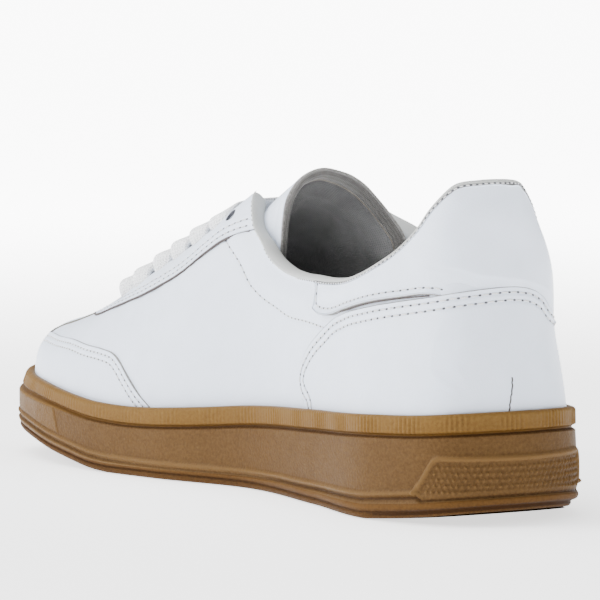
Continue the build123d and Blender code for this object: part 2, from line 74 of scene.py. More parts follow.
# How much of the tuck there is by s, and its size by height.
HEEL_TUCK = [(0, 0), (0.84, 0), (0.9, 0.7), (0.94, 1), (0.965, 0.8), (0.985, 0.25), (1, 0)]
TUCK_HEIGHT = [
    (20, 0), (35, 0.5), (45, 1.3), (56, 1.7), (69, 1.0), (77, 0.8), (88, 1.7), (98, 2.5), (150, 2.5),
]
TUCK_TOWARDS = (0.855, -0.518)  # plan direction in which the lateral heel is tucked in
UNDER_LIP = 2.0  # how far below the lip's top the upper comes out of the sole


def smooth(table, at):
    """Smooth curve through a table of knots: the first column against the others."""
    rows = np.asarray(table, float)
    knots, values, at = rows[:, 0], rows[:, 1:], np.asarray(at, float)
    at = np.clip(at, knots[0], knots[-1])
    gaps = np.diff(knots)[:, None]
    slopes = np.diff(values, axis=0) / gaps
    inner = (slopes[:-1] * gaps[1:] + slopes[1:] * gaps[:-1]) / (gaps[1:] + gaps[:-1])
    tangents = np.vstack([slopes[:1], inner, slopes[-1:]])
    i = np.clip(np.searchsorted(knots, at, side="right") - 1, 0, len(knots) - 2)
    gap = gaps[i]
    u = (at - knots[i])[..., None] / gap
    start = (2 * u**3 - 3 * u**2 + 1) * values[i] + (u**3 - 2 * u**2 + u) * gap * tangents[i]
    end = (3 * u**2 - 2 * u**3) * values[i + 1] + (u**3 - u**2) * gap * tangents[i + 1]
    return start + end


def outline(s):
    """Point and outward normal of the sole's outline, for s from 0 (heel) round to 1."""
    points = np.asarray(SOLE_OUTLINE, float)
    ring = np.vstack([points[-3:], points, points[:4]])
    lengths = np.concatenate([[0], np.cumsum(np.hypot(*np.diff(ring, axis=0).T))])
    table = np.column_stack([lengths, ring])
    first, total = lengths[3], lengths[3 + len(points)] - lengths[3]
    at = first + (np.asarray(s, float) % 1.0) * total
    step = total * 1e-4
    tangent = smooth(table, at + step) - smooth(table, at - step)
    tangent /= np.linalg.norm(tangent, axis=-1, keepdims=True)
    normal = np.stack([-tangent[..., 1], tangent[..., 0]], -1)
    return smooth(table, at), normal


def inset_outline(s, distance):
    """Points of the outline moved inwards."""
    point, normal = outline(s)
    return point - normal * distance


def upper_point(s, t):
    """Outer surface of the upper: s goes round the foot, t from the board (-1) over the lip (0)
    to the spine (1)."""
    s, t = np.broadcast_arrays(np.asarray(s, float), np.asarray(t, float))
    foot = inset_outline(s, FOOT_INSET)
    lip = smooth(LIP_PROFILE, foot[..., 1])[..., 0] - UNDER_LIP
    station = smooth(SPINE_STATION, foot[..., 1])[..., 0]
    ridge = smooth([(y, x, z) for x, y, z in SPINE], station)
    shape = smooth(RIB_SHAPE, station)
    rise = np.clip(t, 0, 1) * np.pi / 2
    inward = 1 - np.clip(np.cos(rise), 0, 1) ** shape[..., 0]
    upward = np.sin(rise) ** shape[..., 1]
    board = smooth(BOARD_TOP, foot[..., 1])[..., 0]
    x = foot[..., 0] + (ridge[..., 0] - foot[..., 0]) * inward
    y = foot[..., 1] + (station - foot[..., 1]) * inward
    z = lip + (ridge[..., 1] - lip) * upward + np.clip(t, -1, 0) * (lip - board)
    tuck = smooth(HEEL_TUCK, s % 1.0)[..., 0] * smooth(TUCK_HEIGHT, z)[..., 0]
    return np.stack([x + TUCK_TOWARDS[0] * tuck, y + TUCK_TOWARDS[1] * tuck, z], -1)


def coarse_skin():
    """Points and outward normals of the outer surface, with a search tree."""
    s, t = np.meshgrid(np.linspace(0, 1, 720, endpoint=False), np.linspace(-1, 0.996, 300), indexing="ij")
    points = upper_point(s, t)
    along = np.roll(points, -1, 0) - np.roll(points, 1, 0)
    normals = np.cross(np.gradient(points, axis=1), along)
    normals /= np.linalg.norm(normals, axis=-1, keepdims=True) + 1e-12
    points, normals = points.reshape(-1, 3), normals.reshape(-1, 3)
    return points, normals, search_tree(points)


def search_tree(points):
    """A tree that finds the points nearest to a place."""
    tree = KDTree(len(points))
    for i, p in enumerate(points):
        tree.insert(p, i)
    tree.balance()
    return tree


SKIN, SKIN_NORMALS, SKIN_TREE = coarse_skin()
RIDGE_X = smooth([(y, x) for x, y, z in SPINE], SKIN[:, 1])[..., 0]
LATERAL_SKIN = SKIN[SKIN[:, 0] < RIDGE_X]


NEIGHBOURS = 8  # points of the surface that a snapped point is averaged over


def snap(points):
    """Nearest points of the outer surface, and the outward normals there."""
    flat = np.asarray(points, float).reshape(-1, 3)
    near = [SKIN_TREE.find_n(p, NEIGHBOURS) for p in flat]
    index = np.array([[n[1] for n in group] for group in near])
    weights = 1 / (np.array([[n[2] for n in group] for group in near]) ** 2 + 0.05)
    weights /= weights.sum(1, keepdims=True)
    normals = (SKIN_NORMALS[index] * weights[..., None]).sum(1)
    normals /= np.linalg.norm(normals, axis=1, keepdims=True)
    heights = ((flat[:, None] - SKIN[index]) * normals[:, None]).sum(-1)
    found = flat - normals * (heights * weights).sum(1)[:, None]
    shape = np.asarray(points).shape
    return found.reshape(shape), normals.reshape(shape)


def arc_lengths(points):
    """How far along a line each of its points is."""
    return np.concatenate([[0], np.cumsum(np.linalg.norm(np.diff(points, axis=0), axis=1))])


def resample(points, count):
    """A smooth line through points, in count even steps."""
    points = np.asarray(points, float)
    apart = np.linalg.norm(np.diff(points, axis=0), axis=1) > 0.4
    points = points[np.concatenate([[True], apart])]
    lengths = arc_lengths(points)
    return smooth(np.column_stack([lengths, points]), np.linspace(0, lengths[-1], count))


def trace(points, count):
    """A pattern line on the outer surface, through roughly placed points, in count even steps."""
    return resample(snap(resample(snap(points)[0], count))[0], count)


def beside(points, distance, count=80):
    """A pattern line moved sideways on the surface, to the left as seen from outside."""
    line, normals = snap(trace(points, count))
    tangents = np.gradient(line, axis=0)
    tangents /= np.linalg.norm(tangents, axis=1, keepdims=True)
    return snap(line + np.cross(normals, tangents) * distance)[0]


def refine(table, rows, columns):
    """A grid of values made denser along both of its directions."""
    count, width = table.shape[:2]
    flat = np.column_stack([np.linspace(0, 1, count), table.reshape(count, -1)])
    table = smooth(flat, np.linspace(0, 1, rows)).reshape(rows, width, -1).transpose(1, 0, 2)
    flat = np.column_stack([np.linspace(0, 1, width), table.reshape(width, -1)])
    return smooth(flat, np.linspace(0, 1, columns)).reshape(columns, rows, -1).transpose(1, 0, 2)


def skin_grid(bottom, top, across, along, front=None, back=None):
    """Grid of outer-surface points and normals between two pattern lines, from front to back."""
    rough_along, rough_across = max(along // 4, 8), max(across // 3, 5)
    low, high = trace(bottom, rough_along), trace(top, rough_along)
    u, v = np.linspace(0, 1, rough_along)[:, None, None], np.linspace(0, 1, rough_across)[None, :, None]
    grid = low[:, None] * (1 - v) + high[:, None] * v
    for edge, end in ((front, 0), (back, -1)):
        if edge is not None:
            side = trace(edge, rough_across)
            share = (1 - u) if end == 0 else u
            grid = grid + share * (side - grid[end])[None]
    points, normals = snap(grid)
    points, normals = refine(points, along, across), refine(normals, along, across)
    return points, normals / np.linalg.norm(normals, axis=-1, keepdims=True)


def ridge_line(offset, stations):
    """Plan line at a distance from the throat's middle, lifted onto the surface."""
    middle = smooth([(y, x, z) for x, y, z in SPINE], stations)
    return [(m[0] + offset, y, m[1]) for m, y in zip(middle, stations)]


def foot_line(first, last, t):
    """A line round the upper at one t, from one s to another."""
    return [tuple(p) for p in upper_point(np.linspace(first, last, 40), np.full(40, t))]


def mirrored_line(points):
    """The lateral pattern line opposite a medial one: the same y and z on the other wall."""
    found = []
    for p in points:
        gaps = (LATERAL_SKIN[:, 1] - p[1]) ** 2 + (LATERAL_SKIN[:, 2] - p[2]) ** 2
        found.append(tuple(LATERAL_SKIN[np.argmin(gaps)]))
    return found


def both_sides(medial_line, middle=()):
    """A line that goes up the medial side, over the middle and down the lateral side."""
    medial_line = [tuple(p) for p in medial_line]
    return medial_line + list(middle) + mirrored_line(medial_line)[::-1]


def station_s(y, medial=True):
    """The s of the wall point at a given y, on one side of the foot."""
    s = np.linspace(0.02, 0.48, 400) if medial else np.linspace(0.98, 0.52, 400)
    return float(s[np.argmin(np.abs(inset_outline(s, FOOT_INSET)[:, 1] - y))])


def distances(points, line):
    """How far each point is from a line, which is divided every 0.4 mm."""
    line = np.asarray(line, float)
    tree = search_tree(resample(line, max(8, int(arc_lengths(line)[-1] / 0.4))))
    flat = np.asarray(points).reshape(-1, 3)
    return np.array([tree.find(p)[2] for p in flat]).reshape(np.asarray(points).shape[:-1])


def ripples(points, size, seed):
    """Smooth noise between about -1 and 1 at each point."""
    total = np.zeros(points.shape[:-1])
    draw = np.random.default_rng(seed)
    for octave in range(2):
        for _ in range(6):
            direction = draw.normal(size=3)
            direction /= np.linalg.norm(direction)
            phase = draw.uniform(0, 2 * math.pi)
            wave = size / 2**octave * draw.uniform(0.7, 1.4)
            total += np.sin(points @ direction * 2 * math.pi / wave + phase) / 3 / 2**octave
    return total


# ---------------------------------------------------------------------------
# Mesh builders
# ---------------------------------------------------------------------------
def new_object(name, verts, faces, materials, uv=None):
    """A smooth-shaded object in metres from vertices in millimetres."""
    mesh = bpy.data.meshes.new(name)
    mesh.from_pydata((np.asarray(verts, float) * MM).tolist(), [], faces)
    if uv is not None:
        corner = np.empty(len(mesh.loops), np.int32)
        mesh.loops.foreach_get("vertex_index", corner)
        layer = mesh.uv_layers.new(name="UVMap")
        layer.data.foreach_set("uv", np.asarray(uv, np.float32)[corner].ravel())
    mesh.polygons.foreach_set("use_smooth", [True] * len(mesh.polygons))
    for material in materials if isinstance(materials, (list, tuple)) else [materials]:
        mesh.materials.append(material)
    mesh.update()
    obj = bpy.data.objects.new(name, mesh)
    bpy.context.scene.collection.objects.link(obj)
    return obj


def turn_outwards(obj):
    """Makes all of a mesh's faces point outwards, and returns its object."""
    bm = bmesh.new()
    bm.from_mesh(obj.data)
    bmesh.ops.recalc_face_normals(bm, faces=bm.faces)
    bm.to_mesh(obj.data)
    bm.free()
    return obj


def grid_faces(rows, columns, start=0, closed_rows=False, closed_columns=False):
    """Quads over a grid of vertices whose first index is start."""
    i = np.arange(rows if closed_rows else rows - 1)
    j = np.arange(columns if closed_columns else columns - 1)
    i, j = np.meshgrid(i, j, indexing="ij")
    ahead, across = (i + 1) % rows, (j + 1) % columns
    corners = [i * columns + j, i * columns + across, ahead * columns + across, ahead * columns + j]
    return (np.stack(corners, -1).reshape(-1, 4) + start).tolist()


def end_faces(start, rings, around):
    """The first and the last face of a closed tube whose first vertex is start."""
    last = start + (rings - 1) * around
    return [list(range(start + around - 1, start - 1, -1)), list(range(last, last + around))]


def border(rows, columns):
    """Row and column of each vertex round a grid's edge, in order."""
    ri = [*range(rows), *[rows - 1] * (columns - 1), *range(rows - 2, -1, -1), *[0] * (columns - 2)]
    rj = [*[0] * rows, *range(1, columns), *[columns - 1] * (rows - 1), *range(columns - 2, 0, -1)]
    return np.array(ri), np.array(rj)


EDGE_STEPS = 4  # rings of faces round a sheet's rounded edge


def sheet(name, grid, span, materials, height, edge=0.45):
    """A closed sheet of leather or cloth between two depths, with rounded edges.
    height(points), if any, raises its outer face. The second material is for its cut edge."""
    points, normals = grid
    rows, columns = points.shape[:2]
    outer = points - normals * span[0]
    if height is not None:
        outer = outer + normals * height(points)[..., None]
    inner = points - normals * span[1]
    ri, rj = border(rows, columns)
    rim, rim_normals = outer[ri, rj].copy(), normals[ri, rj]
    tangents = np.roll(rim, -1, 0) - np.roll(rim, 1, 0)
    tangents /= np.linalg.norm(tangents, axis=1, keepdims=True) + 1e-12
    outward = np.cross(tangents, rim_normals)
    if ((rim - points.reshape(-1, 3).mean(0)) * outward).sum() < 0:
        outward = -outward
    inside = rim - outward * edge
    outer[ri, rj] = inside
    rings = []
    for k in range(1, EDGE_STEPS + 1):
        angle = math.pi / 2 * k / EDGE_STEPS
        drop = rim_normals * edge * (1 - math.cos(angle))
        rings.append(inside + outward * edge * math.sin(angle) - drop)
    verts = np.vstack([outer.reshape(-1, 3), *rings, inner.reshape(-1, 3)])
    count, total = len(ri), rows * columns
    inner_start = total + EDGE_STEPS * count
    ids = [ri * columns + rj, *[total + k * count + np.arange(count) for k in range(EDGE_STEPS)]]
    ids.append(inner_start + ri * columns + rj)
    faces = grid_faces(rows, columns)
    outer_faces = len(faces)
    for a, b in zip(ids[:-1], ids[1:]):
        faces += np.stack([a, b, np.roll(b, -1), np.roll(a, -1)], -1).tolist()
    rim_faces = len(faces) - outer_faces
    faces += [f[::-1] for f in grid_faces(rows, columns, inner_start)]
    along, across = arc_lengths(points[:, columns // 2]), arc_lengths(points[rows // 2])
    plane = np.stack(np.meshgrid(along, across, indexing="ij"), -1)
    uv = np.vstack([plane.reshape(-1, 2), *[plane[ri, rj]] * EDGE_STEPS, plane.reshape(-1, 2)]) * MM
    obj = new_object(name, verts, faces, materials, uv)
    if isinstance(materials, (list, tuple)) and len(materials) > 1:
        index = np.zeros(len(faces), np.int32)
        index[outer_faces + count : outer_faces + rim_faces] = 1
        obj.data.polygons.foreach_set("material_index", index)
    return turn_outwards(obj)


def band(name, line, normals, sideways, profile, material):
    """A strip swept along a line. profile is a list of (sideways, outward) offsets, or one
    such list for each point of the line."""
    line, normals, sideways = np.asarray(line), np.asarray(normals), np.asarray(sideways)
    profile = np.asarray(profile, float)
    if profile.ndim == 2:
        profile = np.repeat(profile[None], len(line), 0)
    verts = line[:, None] + sideways[:, None] * profile[..., :1] + normals[:, None] * profile[..., 1:2]
    rows, columns = verts.shape[:2]
    faces = grid_faces(rows, columns, closed_columns=True)
    run = arc_lengths(line)
    girth = arc_lengths(np.vstack([profile[0], profile[0][:1]]))[:-1]
    uv = np.stack(np.meshgrid(run, girth, indexing="ij"), -1).reshape(-1, 2) * MM
    verts = verts.reshape(-1, 3)
    ends = [verts[:columns].mean(0), verts[-columns:].mean(0)]
    first, last, start = len(verts), len(verts) + 1, len(verts) - columns
    verts, uv = np.vstack([verts, ends]), np.vstack([uv, uv[:1], uv[-1:]])
    faces += [(first, (j + 1) % columns, j) for j in range(columns)]
    faces += [(last, start + j, start + (j + 1) % columns) for j in range(columns)]
    return turn_outwards(new_object(name, verts, faces, material, uv))


def line_frame(line, normals):
    """Unit vectors sideways from a line, to the left as seen from outside, and along it."""
    tangents = np.gradient(line, axis=0)
    tangents /= np.linalg.norm(tangents, axis=1, keepdims=True) + 1e-12
    sideways = np.cross(normals, tangents)
    return sideways / (np.linalg.norm(sideways, axis=1, keepdims=True) + 1e-12), tangents


def oval(width, thickness, count, power):
    """Rounded section of a flat strip, as (sideways, outward) points."""
    angles = np.linspace(0, 2 * math.pi, count, endpoint=False)
    c, s = np.cos(angles), np.sin(angles)
    x = np.sign(c) * np.abs(c) ** (2 / power) * width / 2
    y = np.sign(s) * np.abs(s) ** (2 / power) * thickness / 2
    return np.stack([x, y], -1)


STITCH_POINTS = 8  # points along a stitch, and round its thread


def stitches(name, line, lift, height=None, pitch=2.9, *, width):
    """A row of sewn stitches along a line, and dark discs painted as the shade in the needle holes
    between them, on leather whose outer face is lift above the skin and has the relief height(points)."""
    line = np.asarray(line, float)
    length = arc_lengths(line)[-1]
    count = max(2, int(round(length / pitch)))
    fine, normals = snap(resample(line, count * STITCH_POINTS + 1))
    relief = 0 if height is None else height(fine)[:, None]
    fine = fine + normals * (lift + relief)
    sideways, _ = line_frame(fine, normals)
    draw = np.random.default_rng(len(name) * 7 + count)
    threads, faces, bowls, bowl_faces = [], [], [], []
    ring = np.linspace(0, 2 * math.pi, STITCH_POINTS, endpoint=False)
    for k in range(count):
        span = np.arange(k * STITCH_POINTS + 1, (k + 1) * STITCH_POINTS)
        share = np.linspace(-1, 1, len(span))
        swell = np.sqrt(np.clip(1 - share**4, 0.02, 1))
        centre = fine[span] + normals[span] * (0.17 - 0.34 * share**4)[:, None]
        centre = centre + sideways[span] * (draw.normal(0, 0.05) + share * draw.normal(0, 0.05))[:, None]
        start = len(threads) * STITCH_POINTS
        for c, n, w, side in zip(centre, normals[span], swell, sideways[span]):
            around = np.outer(np.cos(ring), side) + np.outer(np.sin(ring), n) * 0.75
            threads.append(c + around * width / 2 * w)
        faces += grid_faces(len(span), STITCH_POINTS, start, closed_columns=True)
        faces += end_faces(start, len(span), STITCH_POINTS)
    for k in range(0, count * STITCH_POINTS + 1, STITCH_POINTS):
        start = len(bowls) * STITCH_POINTS
        heading = np.cross(sideways[k], normals[k])
        for radius, rise in ((1.0, -0.05), (0.8, 0.09), (0.1, 0.11)):
            around = np.outer(np.cos(ring), heading) * 0.55 + np.outer(np.sin(ring), sideways[k]) * 0.36
            bowls.append(fine[k] + around * radius + normals[k] * rise)
        bowl_faces += grid_faces(3, STITCH_POINTS, start, closed_columns=True)
        bowl_faces.append(end_faces(start, 3, STITCH_POINTS)[1])
    for obj in (
        new_object(f"thread_{name}", np.vstack(threads), faces, THREAD),
        # Painted shade: dark discs for the needle holes.
        new_object(f"needle_holes_{name}", np.vstack(bowls), bowl_faces, HOLE_SHADE),
    ):
        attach(turn_outwards(obj), "shoe")


# ---------------------------------------------------------------------------
# Materials
# ---------------------------------------------------------------------------
class Nodes:
    """Builds one procedural material, node by node."""

    def __init__(self, name, color, roughness):
        self.material = bpy.data.materials.new(name)
        self.material.use_nodes = True
        self.tree = self.material.node_tree
        self.shader = self.tree.nodes["Principled BSDF"]
        self.set("Base Color", (*color, 1))
        self.set("Roughness", roughness)
        self.place = self.add("ShaderNodeTexCoord").outputs["Object"]
        self.uv = self.tree.nodes["Texture Coordinate"].outputs["UV"]
        self.normal = None

    def set(self, socket, value):
        """Sets one of the shader's inputs."""
        self.shader.inputs[socket].default_value = value

    def add(self, kind, **inputs):
        """A new node with its inputs set or linked."""
        node = self.tree.nodes.new(kind)
        for key, value in inputs.items():
            self.plug(node.inputs[key.replace("_", " ")], value)
        return node

    def plug(self, socket, value):
        """Links a socket to another node's output, or sets its value."""
        if isinstance(value, bpy.types.NodeSocket):
            self.tree.links.new(value, socket)
        else:
            socket.default_value = value

    def noise(self, size, detail, rough=0.5):
        """Noise whose lumps are about size millimetres across."""
        node = self.add("ShaderNodeTexNoise", Vector=self.place, Scale=1 / (size * MM), Detail=detail)
        node.inputs["Roughness"].default_value = rough
        return node.outputs["Fac"]

    def cells(self, size):
        """Distance from the edges of cells about size millimetres across."""
        node = self.add("ShaderNodeTexVoronoi", Vector=self.place, Scale=1 / (size * MM))
        node.feature = "DISTANCE_TO_EDGE"
        return node.outputs["Distance"]

    def waves(self, size, direction, place):
        """Slightly uneven parallel ridges, size millimetres apart."""
        scale = math.pi / 10 / (size * MM)
        node = self.add("ShaderNodeTexWave", Vector=place, Scale=scale, Distortion=0.25)
        node.bands_direction = direction
        return node.outputs["Fac"]

    def math(self, operation, a, b):
        """The result of a sum, product or the like of two values."""
        node = self.tree.nodes.new("ShaderNodeMath")
        node.operation = operation
        self.plug(node.inputs[0], a)
        self.plug(node.inputs[1], b)
        return node.outputs[0]

    def ramp(self, value, low, high, start, end):
        """A colour between low and high, by value."""
        node = self.tree.nodes.new("ShaderNodeValToRGB")
        node.color_ramp.elements[0].position, node.color_ramp.elements[0].color = start, (*low, 1)
        node.color_ramp.elements[1].position, node.color_ramp.elements[1].color = end, (*high, 1)
        self.plug(node.inputs["Fac"], value)
        return node.outputs["Color"]

    def color(self, value, low, high, start=0.3, end=0.7):
        """Makes the base colour go from low to high by value."""
        self.plug(self.shader.inputs["Base Color"], self.ramp(value, low, high, start, end))

    def roughness(self, value, low, high):
        """Makes the roughness go from low to high by value."""
        node = self.add("ShaderNodeMapRange", Value=value, To_Min=low, To_Max=high)
        self.plug(self.shader.inputs["Roughness"], node.outputs[0])

    def bump(self, height, depth):
        """Raises the surface by up to depth millimetres, over any bump added before."""
        node = self.add("ShaderNodeBump", Height=height, Distance=depth * MM, Strength=1.0)
        if self.normal:
            self.plug(node.inputs["Normal"], self.normal)
        self.normal = node.outputs[0]
        self.plug(self.shader.inputs["Normal"], self.normal)


def leather(name, color, grain=0.05, roughness=0.42):
    """Smooth full-grain leather: fine pores, soft wrinkles, slight change of tone."""
    nodes = Nodes(name, color, roughness)
    tone = nodes.noise(9, 3)
    darker = [c * 0.965 for c in color]
    nodes.color(tone, darker, color, 0.35, 0.65)
    nodes.roughness(nodes.noise(4, 4), roughness - 0.05, roughness + 0.09)
    nodes.bump(nodes.noise(14, 2), 0.12)
    nodes.bump(nodes.cells(1.1), grain * 0.7)
    nodes.bump(nodes.noise(0.5, 4), grain)
    nodes.set("Coat Weight", 0.06)
    nodes.set("Coat Roughness", 0.35)
    return nodes.material


def cut_edge(name, color):
    """The raw cut edge of leather: fibrous and matt. The dark colours it is given here are partly painted
    shade, for edges and holes in shadow.
    """
    nodes = Nodes(name, color, 0.9)
    nodes.color(nodes.noise(0.8, 4), [c * 0.55 for c in color], color)
    nodes.bump(nodes.noise(0.35, 3), 0.12)
    return nodes.material


def textile(name, low, high, pitch, depth, fuzz=0.25, uv=True):
    """Plain weave: warp and weft threads that rise in turn, with a little fuzz."""
    nodes = Nodes(name, high, 0.93)
    threads = nodes.uv if uv else nodes.place
    warp = nodes.waves(pitch, "X", threads)
    weft = nodes.waves(pitch, "Y" if uv else "Z", threads)
    weave = nodes.math("MAXIMUM", warp, weft)
    mottled = nodes.math("MULTIPLY", weave, nodes.noise(5, 4))
    nodes.color(mottled, low, high, 0.1, 0.75)
    nodes.bump(weave, depth)
    nodes.bump(nodes.noise(0.45, 3), depth * 0.8)
    nodes.set("Sheen Weight", fuzz)
    nodes.set("Sheen Roughness", 0.5)
    return nodes.material


def painted_fill_by_height(material, low, high):
    """Painted light: cloth made paler low down and darker high up, to even out the shade inside the shoe:
    its colour's strength at a height of 55 mm and of 100 mm.
    """
    tree = material.node_tree
    shader = tree.nodes["Principled BSDF"]
    color = shader.inputs["Base Color"].links[0].from_socket
    heights = tree.nodes.new("ShaderNodeSeparateXYZ")
    tree.links.new(tree.nodes["Texture Coordinate"].outputs["Object"], heights.inputs[0])
    share = tree.nodes.new("ShaderNodeMapRange")
    tree.links.new(heights.outputs["Z"], share.inputs["Value"])
    for socket, value in (("From Min", 0.055), ("From Max", 0.1), ("To Min", low), ("To Max", high)):
        share.inputs[socket].default_value = value
    scaled = tree.nodes.new("ShaderNodeVectorMath")
    scaled.operation = "SCALE"
    tree.links.new(color, scaled.inputs[0])
    tree.links.new(share.outputs[0], scaled.inputs["Scale"])
    tree.links.new(scaled.outputs[0], shader.inputs["Base Color"])
    return material


def rubber(name, low, high, roughness=0.5, grain=0.1):
    """Moulded gum rubber, a little translucent, with mould grain; its colour is painted lighter on raised
    relief and darker in grooves, as light and shade.
    """
    nodes = Nodes(name, high, roughness)
    relief = nodes.tree.nodes.new("ShaderNodeAttribute")
    relief.attribute_name = "relief"
    # Painted light and shade: the relief's height lightens raised parts and darkens grooves.
    shading_relief = nodes.math("MULTIPLY", relief.outputs["Fac"], 0.5)
    fine = nodes.math("MULTIPLY", nodes.noise(0.9, 4, rough=0.65), 0.75)
    mottle = nodes.math("ADD", nodes.math("MULTIPLY", nodes.noise(30, 3), 0.25), fine)
    nodes.color(nodes.math("ADD", shading_relief, mottle), low, high, 0.2, 0.85)
    nodes.roughness(nodes.noise(3, 3), roughness - 0.06, roughness + 0.1)
    nodes.bump(nodes.noise(0.9, 4), grain)
    nodes.set("Specular IOR Level", 0.06)
    nodes.set("Subsurface Weight", 0.04)
    nodes.set("Subsurface Radius", (0.004, 0.002, 0.001))
    return nodes.material


def foam(name, color):
    """Open-celled foam."""
    nodes = Nodes(name, color, 0.95)
    nodes.color(nodes.cells(0.9), [c * 0.7 for c in color], color, 0.0, 0.4)
    nodes.bump(nodes.cells(0.9), 0.3)
    return nodes.material


WHITE = leather("white_leather", (0.715, 0.785, 0.91))
# Partly painted shade: the white leather's cut edges are dark grey, as they look where they lie in shadow;
# partly the raw edge's own colour.
WHITE_EDGE = cut_edge("white_leather_edge", (0.30, 0.29, 0.28))
# Painted shade: near-black for the eyestays' cut edges and the dark strips, standing in for the shade along
# edges and in gaps; partly the raw edge's own colour.
EDGE_SHADE = cut_edge("eyestay_edge_painted_shade", (0.085, 0.07, 0.07))
# Painted shade: olive-dark for the toe bar's cut edge, standing in for the thin shadow along it; partly the
# raw edge's own colour.
BAR_EDGE_SHADE = cut_edge("toe_bar_edge_painted_shade", (0.16, 0.145, 0.11))
BINDING_MATERIAL = leather("collar_binding", (0.42, 0.43, 0.42), grain=0.12, roughness=0.8)
THREAD = textile("thread", (0.62, 0.62, 0.63), (0.85, 0.86, 0.88), 0.5, 0.06, 0.1, uv=False)
# Painted shade: near-black for the needle holes and the eyelet wells, standing in for the shade inside them.
HOLE_SHADE = cut_edge("needle_hole", (0.10, 0.10, 0.115))
LINING_CLOTH = textile("grey_lining", (0.085, 0.085, 0.087), (0.135, 0.135, 0.137), 0.6, 0.1)
# Painted light: the lining is made paler low down, where the inside of the shoe lies in shade, and darker at
# its top.
LINING_MATERIAL = painted_fill_by_height(LINING_CLOTH, 2.7, 0.55)
BAND_MATERIAL = textile("tongue_band", (0.055, 0.053, 0.05), (0.14, 0.135, 0.13), 0.6, 0.14, 0.4)
SEAM_THREAD = textile("seam_thread", (0.16, 0.145, 0.12), (0.28, 0.255, 0.22), 0.5, 0.08, uv=False)
LACE_MATERIAL = textile("lace_textile", (0.80, 0.81, 0.83), (0.96, 0.97, 0.98), 0.95, 0.3, 0.2)
SOCK_MATERIAL = textile("sockliner_textile", (0.10, 0.10, 0.103), (0.19, 0.19, 0.193), 1.0, 0.2)
GUM = rubber("gum_rubber", (0.044, 0.0205, 0.0065), (0.113, 0.062, 0.0215), grain=0.2)
GUM_LIP = rubber("gum_lip", (0.072, 0.0335, 0.0065), (0.146, 0.08, 0.0215), 0.45, 0.08)
# Painted shade: a darker gum for the tread and the foot of the wall, where the bottom of the sole lies in
# shadow.
TREAD = rubber("gum_tread", (0.03, 0.012, 0.003), (0.085, 0.04, 0.01), 0.6)


def carried_over():
    """Materials for the CAD nodes that stay as they are, most of them inside the shoe."""
    board = textile("board_textile", (0.55, 0.53, 0.47), (0.80, 0.78, 0.72), 1.2, 0.2, uv=False)
    kinds = {
        "midsole_filler": foam("eva_foam", (0.82, 0.81, 0.77)),
        "strobel_board": board,
        "collar_foam": foam("upper_foam", (0.72, 0.72, 0.69)),
        "heel_stiffener": leather("stiffener_board", (0.60, 0.58, 0.53), 0.08, 0.7),
        "eyelet_backer_medial": textile(
            "backer_tape", (0.6, 0.6, 0.58), (0.82, 0.82, 0.8), 0.8, 0.15, uv=False,
        ),
        "lace_aglets": Nodes("aglet_plastic", (0.85, 0.85, 0.85), 0.12).material,
    }
    kinds["toe_puff"] = kinds["heel_stiffener"]
    kinds["eyelet_backer_lateral"] = kinds["eyelet_backer_medial"]
    for node, material in kinds.items():
        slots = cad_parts[node].data.materials
        slots.clear()
        slots.append(material)


# ---------------------------------------------------------------------------
# Pattern lines of the upper, medial side, from front to back
# ---------------------------------------------------------------------------
TOPLINE = [
    (13.5, -3.5, 96), (17, 1.5, 90), (19, 6, 84), (19.5, 11, 80), (21, 16.5, 76), (22.5, 26, 72.5),
    (24, 38, 71), (26.5, 50, 71), (28, 65, 71), (30.5, 81, 73), (31, 94, 77), (29, 102, 81),
    (26.5, 107, 85), (24.5, 110, 88.5), (22.5, 113, 94), (20.5, 115.5, 98), (17, 118, 102),
    (10, 121, 103.5), (2.5, 122.5, 104),
]
CAP_EDGE = [
    (39, -30.5, 23), (40.5, -36, 27), (41, -42, 32.5), (41.5, -47, 37), (41.5, -50.5, 39),
    (41.8, -59, 40.5), (41.5, -68.5, 41), (40, -80.5, 42), (36.5, -99, 42.4), (32.5, -110, 42.2),
    (29.3, -117.5, 41.8),
]
CAP_MIDDLE = (12, -121, 43)
UNDER_CAP = [(42, -45, 22), (43, -56, 30), (43, -72, 33), (38, -98, 35), (26, -116, 39), (13, -111, 45)]
EYESTAY_EDGE = [
    (29, -85, 50), (33, -79, 51), (34, -66, 54), (33.5, -46, 59.5), (32, -35, 63.5), (30, -24.5, 68),
    (27.5, -15.5, 74), (24.5, -7, 79), (22, 1, 81.7), (20.5, 5.6, 82.9),
]
PATCH_FRONT = [(27.4, 54, 60.5), (27, 53.3, 62.5), (27, 53.3, 65.5), (26.7, 53.6, 68.5)]
PATCH_EDGE = [
    (27.4, 54, 60.5), (28, 58, 59.2), (28.6, 63, 59.1), (30.8, 78.5, 62.1), (32.6, 96, 65.6),
    (30.4, 109, 67.7), (26.5, 119.5, 69), (22, 125, 68), (16, 128.3, 66), (8, 130, 65), (1, 130, 64),
]
PATCH_LATERAL_EDGE = [
    (-8, 128.5, 62), (-16, 124.5, 59), (-24, 116, 58.5), (-30, 105, 60), (-32, 96, 61.5), (-33, 78, 59.3),
    (-33, 63, 58.7), (-33, 58, 59.2), (-33, 54, 60.5),
]
PATCH_GAP = [(30.1, 74, 61.3), (30.8, 78.5, 62.1), (32.6, 96, 65.6), (30.4, 109, 67.7), (26.5, 119.5, 69)]
HEEL_DART = [(6.6, 134.3, 44.4), (6.7, 134.5, 41.5), (7.3, 134.8, 38.5), (7.8, 134.9, 36), (8.3, 135, 32)]
PATCH_STITCH_END = 123  # y where the patch goes under the counter
COUNTER_FRONT = [
    (28, 50, 29), (27.5, 45.5, 32.5), (27, 43, 37), (27, 44, 42), (27, 47.5, 46), (28, 53.5, 50.5),
    (28.5, 61.5, 55),
]
